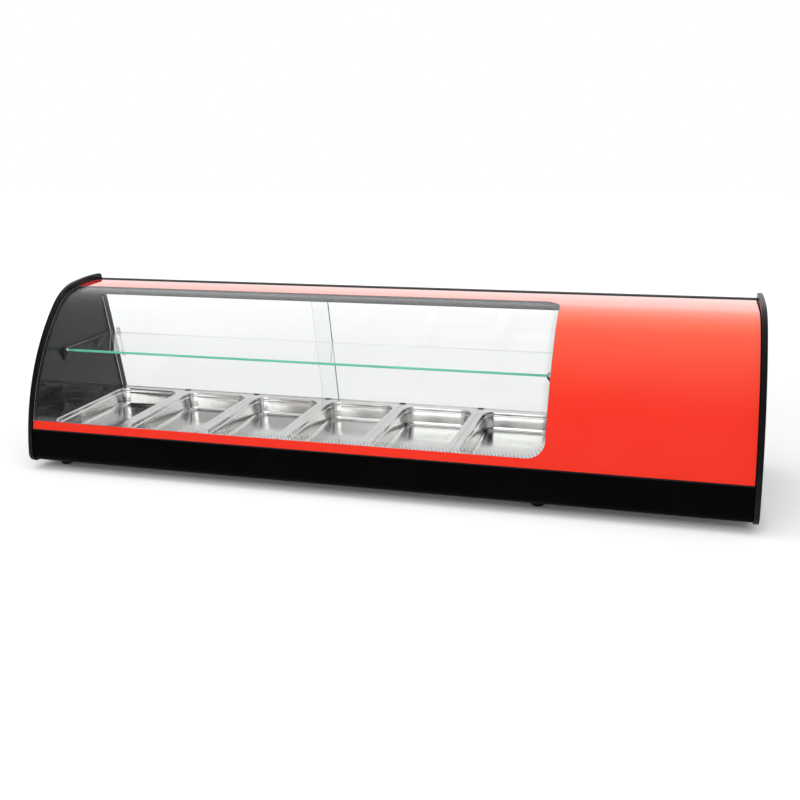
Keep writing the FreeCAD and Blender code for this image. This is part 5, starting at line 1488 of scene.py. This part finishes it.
@dataclass
class MachineCompartment:
    """The refrigerating machine behind the partition: compressor, condenser, fan, pipes and cover."""

    face: float = 0.022
    louvres: int = 9
    louvre_start: float = 0.020
    louvre_pitch: float = 0.012
    louvre_length: float = 0.200
    louvre_margin: float = 0.002
    hood: float = 0.0075
    hood_sunk: float = 0.0030
    hood_sheet: float = 0.0010
    hood_lap: float = 0.0006
    hood_bite: float = 0.0004
    hood_tip: float = 0.0002
    bend_pipe: float = 0.0028
    bend_radius: float = 0.0080
    bend_rows: int = 8
    bend_back: float = 0.011
    bend_first: float = 0.024
    bend_pitch: float = 0.0215
    bend_sunk: float = 0.0005
    foot_dome: float = 0.15
    top_dome: float = 0.20
    dome_reach: float = 0.95
    seam: tuple[tuple[float, float], ...] = ((0.05, 0.17), (0.05, 0.585), (0.0, 0.592), (0.0, 0.618),
                                             (0.05, 0.625), (0.05, 0.80))

    def hoods(self) -> None:
        """Build the pressed hoods over the cover's slots: quarter rounds that open downwards."""
        low, _ = corners("condenser")
        plane = lean_plane()
        upright = Plane(plane.origin, plane.along, plane.out, plane.across)
        left = low[0] - self.louvre_margin - self.hood_lap
        right = left + self.louvre_length + 2 * self.hood_lap
        begin = math.asin((self.hood_sunk - self.hood_bite) / self.hood)
        bite = self.hood_bite
        shell = Shell("cover_louvre_hoods")
        for place in range(self.louvres):
            centre = (self.louvre_start + place * self.louvre_pitch - bite, self.face - self.hood_sunk)
            outer = Turn(centre, self.hood, begin, QUARTER, 8)
            inner = Turn(centre, self.hood - self.hood_sheet, QUARTER, begin, 8, hollow=True)
            tip = Turn(centre, self.hood_tip, -HALF, -QUARTER, 2)
            shell.wall(Outline.of([outer, inner]), np.array(((0.0, left), (0.0, right))), upright)
            closed = Outline.of([outer, tip])
            for start, end in ((left, left + self.hood_sheet), (right - self.hood_sheet, right)):
                edge = np.array(((bite, start), (0.0, start + bite), (0.0, end - bite), (bite, end)))
                shell.wall(closed, edge, upright)
        seat(shell.build([COATED_STEEL], sharp=50), "case", "fascia_black")

    def return_bends(self) -> None:
        """Build the copper return bends that stand out of both ends of the condenser's fin block.

        Each is half a torus: (bend + pipe cos b)(cos a, sin a) upright, pipe sin b along the depth.
        """
        low, high = corners("condenser")
        middle = (low[1] + high[1]) / 2 + self.bend_back
        turn = np.linspace(-QUARTER, QUARTER, 13)[:, None]
        girth = np.linspace(0.0, FULL, 12, endpoint=False)
        ring = self.bend_radius + self.bend_pipe * np.cos(girth)
        along = middle + self.bend_pipe * np.sin(girth) + np.zeros_like(turn)
        shell = Shell("condenser_return_bends")
        for side, end in ((-1.0, low[0]), (1.0, high[0])):
            across = end - side * self.bend_sunk + side * np.cos(turn) * ring
            for row in range(self.bend_rows):
                up = low[2] + self.bend_first + row * self.bend_pitch + np.sin(turn) * ring
                shell.loft(np.stack((across, along, up), axis=-1))
        seat(shell.build([COPPER], sharp=60), "case", "copper")

    def compressor_shell(self) -> None:
        """Build the compressor: a welded shell turned from a domed foot, a seam flange and a domed top.

        Its section is rows of (inset as a share of the radius, height as a share of the whole): two
        quarter ellipses with the seam's rows between them.
        """
        low, high = corners("compressor")
        centre, reach = (low + high)[:2] / 2, (high - low)[0] / 2
        sine, cosine = (wave(np.linspace(0.0, QUARTER, 9))[1:] for wave in (np.sin, np.cos))
        foot = np.column_stack((1 - self.dome_reach * sine, self.foot_dome * (1 - cosine)))
        top = np.column_stack((1 - self.dome_reach * cosine, 1 - self.top_dome * (1 - sine)))[:-1]
        edge = np.vstack((foot, self.seam, top)) * (reach, high[2] - low[2]) + (0.0, low[2])
        shell = Shell("compressor_shell")
        shell.wall(Outline.disc(centre, reach, 64), edge, LEVEL)
        seat(shell.build([COMPRESSOR], sharp=40), "case", "compressor_black", "compressor")

    def build(self) -> None:
        """Build the cover's hoods, the bends and the compressor, and dress the machine's other pieces."""
        self.hoods()
        self.return_bends()
        self.compressor_shell()
        dress(COATED_STEEL, "machine_cover")
        dress(GALVANISED, "compressor_mounts", "fan_shroud", "fan_motor")
        dress(ALUMINIUM, "condenser")
        dress(PLASTIC, "fan_blades")
        dress(COPPER, "filter_drier", "refrigerant_lines")


@dataclass
class Controls:
    """Thermostat, keys, rocker switches, cable gland and the end panels' screws."""

    face: float = 0.022
    line: float = 0.178
    bezel: float = 0.003
    bezel_size: tuple[float, float] = (0.076, 0.034)
    bezel_corner: float = 0.004
    bezel_lap: float = 0.0015
    bezel_rim: float = 0.0025
    bezel_rise: float = 0.0012
    bezel_round: float = 0.0014
    opening_corner: float = 0.002
    window_inset: tuple[float, float] = (0.021, 0.006)
    window_rise: tuple[float, float] = (-0.0002, 0.0008)
    window_corner: float = 0.0015
    window_round: float = 0.0005
    key_corner: float = 0.0012
    key_round: float = 0.0006
    key_foot: float = 0.0001
    switch_size: tuple[float, float] = (0.020, 0.027)
    switch_opening: tuple[float, float] = (0.0135, 0.0205)
    switch_corners: tuple[float, float] = (0.0025, 0.0008)
    switch_pitch: float = 0.040
    switch_up: float = 0.011
    switch_rise: tuple[float, float] = (0.0024, 0.0034)
    switch_round: float = 0.0007
    gland_line: float = 0.040
    gland_grow: float = 0.0006
    gland_nut: tuple[tuple[float, float], ...] = ((0.0006, 0.0), (0.0, 0.0006), (0.0, 0.0066),
                                                  (0.0006, 0.0072))
    gland_collar: tuple[tuple[float, float], ...] = ((0.0092, 0.0074), (0.0090, 0.0110), (0.0080, 0.0126),
                                                     (0.0062, 0.0134), (0.0046, 0.0134), (0.0042, 0.0128),
                                                     (0.0042, 0.0))
    screw_reach: float = 0.004
    screw_rise: float = 0.0024
    screw_grow: float = 0.0002
    screw_dome: float = math.radians(62)
    screw_head: float = 0.0022
    socket_flat: float = 0.0013
    socket_depths: tuple[float, float] = (0.0012, 0.0014)
    socket_point: float = 0.2
    screw_places: tuple[tuple[float, float], ...] = ((-0.180, 0.044), (0.162, 0.044), (0.084, 0.300),
                                                     (-0.026, 0.300))

    def frame_ring(self, shell: Shell, outer: Outline, inner: Outline, low: float, high: float,
                   corner: float) -> None:
        """Add a frame between two outlines of equally many points, its front edges rounded.

        Args:
            shell: the shell to add to.
            outer: the frame's outer outline.
            inner: the outline of its opening.
            low: distance out of the door plane where it starts.
            high: distance out of the door plane where it ends.
            corner: radius of its front edges.
        """
        edge = softened(low, high, 0.0, corner, 4)[4:]
        flat = np.concatenate((outer.ring(edge[:, 0]), inner.ring(-edge[::-1, 0])))
        heights = np.concatenate((edge[:, 1], edge[::-1, 1]))
        shell.loft(lean_plane().place(flat, heights[:, None] + np.zeros(flat.shape[1])), capped=False)

    def thermostat(self) -> None:
        """Build the thermostat's softened frame and the dark window of its display."""
        size = np.array(self.bezel_size)
        middle = np.array((corners("controller_housing")[0][0], self.line)) + size / 2
        front = self.face + self.bezel
        outer = Outline.about(middle, size + 2 * self.bezel_lap, self.bezel_corner)
        inner = Outline.about(middle, size - 2 * self.bezel_rim, self.opening_corner)
        shell = Shell("controller_frame")
        self.frame_ring(shell, outer, inner, self.face, front + self.bezel_rise, self.bezel_round)
        seat(shell.build([PLASTIC]), "case", "plastic_black")
        outline = Outline.about(middle, size - 2 * np.array(self.window_inset), self.window_corner, 5)
        low, high = (front + rise for rise in self.window_rise)
        window = Shell("display_window")
        window.wall(outline, softened(low, high, 0.0, self.window_round, 3), lean_plane())
        seat(window.build([DISPLAY]), "case", "plastic_black")

    def keys(self) -> None:
        """Build the three keys as caps with softened edges."""
        plane = lean_plane()
        axes = np.array((plane.out, plane.along))
        for node in ("key_set", "key_up", "key_down"):
            low, high = corners(node)
            depth, length = leaning_size(node)
            out, up = axes @ ((low + high) / 2 - np.array(plane.origin))
            outline = Outline.about(((low + high)[0] / 2, up), ((high - low)[0], length), self.key_corner, 5)
            edge = softened(out - depth / 2, out + depth / 2, self.key_foot, self.key_round, 4)
            shell = Shell(f"{node}_cap")
            shell.wall(outline, edge, plane)
            seat(shell.build([KEY]), node, "key_grey", node)

    def switches(self) -> None:
        """Build the softened frames of the two rocker switches over their housings."""
        first = corners("switch_housings")[0][0] + self.switch_size[0] / 2
        low, high = (self.face + rise for rise in self.switch_rise)
        shell = Shell("switch_frames")
        for across in (first, first + self.switch_pitch):
            outer, inner = (Outline.about((across, self.line + self.switch_up), size, corner) for size, corner
                            in zip((self.switch_size, self.switch_opening), self.switch_corners))
            self.frame_ring(shell, outer, inner, low, high, self.switch_round)
        seat(shell.build([PLASTIC]), "case", "plastic_black")

    def gland(self) -> None:
        """Build the cable gland's six-sided nut, as rows of (inset, height), and its hollow turned collar."""
        low, high = corners("power_inlet_gland")
        spoke = np.linspace(0.0, FULL, 48, endpoint=False)
        nut, collar = np.array(self.gland_nut), np.array(self.gland_collar)
        sides = hexagon((high - low)[0] / 2 * math.cos(FULL / 12), spoke) + self.gland_grow
        radii = np.vstack((sides - nut[:, :1], collar[:, :1] + np.zeros(48)))
        flat = radii[..., None] * np.column_stack((np.cos(spoke), np.sin(spoke)))
        flat += np.array(((low + high)[0] / 2, self.gland_line))
        heights = self.face + np.concatenate((nut[:, 1], collar[:, 1]))[:, None] + np.zeros(48)
        shell = Shell("gland_nut")
        shell.loft(lean_plane().place(flat, heights), capped=False)
        seat(shell.build([PLASTIC], sharp=35), "case", "plastic_black", "power_inlet_gland")

    def screws(self) -> None:
        """Build the domed heads of the end panels' screws, each with a six-sided socket.

        The dome is part of an ellipse: radius reach cos t, height rise sin t / sin of its last angle.
        """
        low, high = corners("end_panel_screws")
        spoke = np.linspace(0.0, FULL, 36, endpoint=False)
        socket = hexagon(self.socket_flat, spoke)
        turn = np.linspace(0.0, self.screw_dome, 7)[:, None]
        dome = self.screw_reach * np.cos(turn) + self.screw_grow + np.zeros(36)
        radii = np.vstack((dome[:1], dome, socket, socket, socket * self.socket_point))
        rise = self.screw_rise * np.sin(turn) / math.sin(self.screw_dome)
        floor = self.screw_rise - np.array((0.0, *self.socket_depths))[:, None]
        height = np.vstack(((-self.screw_grow,), rise, floor)) + np.zeros(36)
        shell = Shell("screw_heads")
        for side, face in ((-1.0, low[0] + self.screw_head), (1.0, high[0] - self.screw_head)):
            for along, up in self.screw_places:
                shell.loft(np.stack((face + side * height, along + radii * np.cos(spoke),
                                     up + radii * np.sin(spoke)), axis=-1))
        seat(shell.build([ZINC]), "case", "zinc_steel", "end_panel_screws")

    def build(self) -> None:
        """Build the controls and dress the pieces that keep their shape."""
        self.thermostat()
        self.keys()
        self.switches()
        self.gland()
        self.screws()
        dress(PLASTIC, "controller_housing", "switch_housings", "power_rocker", "light_rocker")


# ---------------------------------------------------------------- studio


@dataclass(frozen=True)
class Lamp:
    """A soft square lamp that lights the object but shows in no reflection."""

    name: str
    place: tuple[float, float, float]
    size: float
    power: float

    def hang(self, aim: Sequence[float]) -> None:
        """Hang the lamp.

        Args:
            aim: the point that it faces.
        """
        data = bpy.data.lights.new(self.name, "AREA")
        data.size, data.energy = self.size, self.power
        lamp = bpy.data.objects.new(self.name, data)
        facing = (Vector(self.place) - Vector(aim)).to_track_quat("Z", "Y").to_matrix()
        lamp.matrix_world = Matrix.Translation(self.place) @ facing.to_4x4()
        lamp.visible_glossy = False
        bpy.context.scene.collection.objects.link(lamp)


@dataclass
class Studio:
    """A plain pale floor, soft lamps, a bright surrounding and the camera."""

    place: tuple[float, float, float] = (0.5635878, -2.0074723, 0.6997893)
    right: tuple[float, float, float] = (0.95664106, 0.29090597, -0.01454665)
    up: tuple[float, float, float] = (-0.05707899, 0.23620935, 0.97002429)
    back: tuple[float, float, float] = (0.28562191, -0.92713476, 0.24257218)
    lens: float = 46.603
    sensor: float = 36.0
    shift: tuple[float, float] = (0.05, -0.01875)
    brightest: tuple[float, float, float] = (0.0, 0.766, 0.643)
    dim_edge: float = -0.25
    gloss_bend: float = 1.3
    front_gloss: float = 0.12
    back_gloss: float = 1.34
    plain_level: float = 0.58
    floor_near: float = 0.30
    floor_far: float = 0.62
    floor_reach: tuple[float, float] = (1.0, 2.6)
    floor_half: float = 9.0
    floor_grey: float = 0.80
    floor_roughness: float = 0.9
    # Reach and set-in of the painted shadow, where the floor's added brightness fades out round the
    # footprint.
    shadow_reach: float = 0.045
    shadow_set_in: float = 0.012
    aim: tuple[float, float, float] = (0.0, 0.0, 0.2)
    lamps: tuple[Lamp, ...] = (Lamp("overhead_lamp", (-0.3, -0.6, 2.6), 2.2, 28.0),
                               Lamp("front_lamp", (0.2, -3.0, 1.3), 2.4, 37.0))

    def camera(self) -> None:
        """Place the camera by its three axes."""
        data = bpy.data.cameras.new("studio_camera")
        data.lens, data.sensor_width = self.lens, self.sensor
        data.shift_x, data.shift_y = self.shift
        camera = bpy.data.objects.new("studio_camera", data)
        columns = np.column_stack((self.right, self.up, self.back, self.place))
        camera.matrix_world = Matrix(np.vstack((columns, (0.0, 0.0, 0.0, 1.0))).tolist())
        bpy.context.scene.collection.objects.link(camera)
        bpy.context.scene.camera = camera

    def seen_directly(self, tree: Tree) -> bpy.types.NodeSocket:
        """1 for rays from the camera, or off or through the object, and 0 for others."""
        path = tree.add("ShaderNodeLightPath").outputs
        seen = tree.math("MAXIMUM", path["Is Camera Ray"], path["Is Transmission Ray"])
        return tree.math("MAXIMUM", seen, path["Is Glossy Ray"])

    def beyond_footprint(self, tree: Tree) -> bpy.types.NodeSocket:
        """Distance outside the case's footprint: the length of max(|place - middle| - half size, 0).

        Args:
            tree: the floor material's tree.

        Returns:
            The distance.
        """
        low, high = corners("base_pan")
        fold = tree.vector("SUBTRACT", tree.place(), (*((low + high) / 2)[:2], 0.0))
        half = (*((high - low) / 2 - self.shadow_set_in)[:2], 0.0)
        over = tree.vector("SUBTRACT", tree.vector("ABSOLUTE", fold), half)
        return tree.vector("LENGTH", tree.vector("MAXIMUM", over, (0.0, 0.0, 0.0)))

    def floor(self) -> None:
        """Lay a wide pale floor that keeps the shadow and reads white elsewhere.

        What it adds to its lit colour fades to nothing over the last stretch before the case's footprint: a
        painted shadow round the case, darker than its own shadow alone.
        """
        material = bpy.data.materials.new("pale_floor")
        material.use_nodes = True
        tree = Tree(material.node_tree)
        surface = material.node_tree.nodes["Principled BSDF"].inputs
        surface["Base Color"].default_value = (*[self.floor_grey] * 3, 1.0)
        surface["Roughness"].default_value = self.floor_roughness
        surface["Specular IOR Level"].default_value = 0.0
        surface["Emission Color"].default_value = (1.0, 1.0, 1.0, 1.0)
        away = tree.vector("LENGTH", tree.place())
        level = tree.remap(away, *self.floor_reach, self.floor_near, self.floor_far)
        # Painted shadow: the added brightness fades out near the case's footprint, darkening the floor round
        # it.
        outside_painted_shadow = tree.remap(self.beyond_footprint(tree), 0.0, self.shadow_reach)
        level = tree.math("MULTIPLY", level, outside_painted_shadow)
        tree.join(tree.math("MULTIPLY", self.seen_directly(tree), level), surface["Emission Strength"])
        half = self.floor_half
        mesh = bpy.data.meshes.new("studio_floor")
        mesh.from_pydata([(-half, -half, 0.0), (half, -half, 0.0), (half, half, 0.0), (-half, half, 0.0)],
                         [], [(0, 1, 2, 3)])
        mesh.materials.append(material)
        floor = bpy.data.objects.new("studio_floor", mesh)
        bpy.context.scene.collection.objects.link(floor)

    def surroundings(self) -> None:
        """Light the object evenly, show white behind and through it, and give gloss a room bright overhead.

        A glossy ray sees a level that rises from front_gloss to back_gloss with the cosine between the ray
        and the room's brightest direction, which is up and to the rear.
        """
        world = bpy.data.worlds.new("studio_room")
        world.use_nodes = True
        bpy.context.scene.world = world
        tree = Tree(world.node_tree)
        tree.tree.nodes.clear()
        ray = tree.add("ShaderNodeTexCoord").outputs["Generated"]
        toward = tree.vector("DOT_PRODUCT", ray, self.brightest)
        rise = tree.math("POWER", tree.remap(toward, self.dim_edge, 1.0), self.gloss_bend)
        gloss = tree.remap(rise, 0.0, 1.0, self.front_gloss, self.back_gloss)
        path = tree.add("ShaderNodeLightPath").outputs
        room = tree.mix(path["Is Glossy Ray"], (*[self.plain_level] * 3, 1.0), gloss)
        clear = tree.math("MAXIMUM", path["Is Camera Ray"], path["Is Transmission Ray"])
        light = tree.add("ShaderNodeBackground")
        tree.join(tree.mix(clear, room, (1.0, 1.0, 1.0, 1.0)), light.inputs["Color"])
        tree.join(light.outputs[0], tree.add("ShaderNodeOutputWorld").inputs["Surface"])

    def build(self) -> None:
        """Set up the studio."""
        self.camera()
        self.floor()
        self.surroundings()
        for lamp in self.lamps:
            lamp.hang(self.aim)
        bpy.context.scene.view_settings.view_transform = "Standard"


def main() -> None:
    """Build the case's pieces in order and report each."""
    logging.basicConfig(level=logging.INFO, format="%(name)s: %(message)s")
    for part in (Studio(), EndPanels(), Base(), FrontGlass(), ColdWell(), Interior(), RearDoors(),
                 MachineCompartment(), Controls()):
        part.build()
        log.info("%s built", type(part).__name__)


if __name__ == "__main__":
    main()
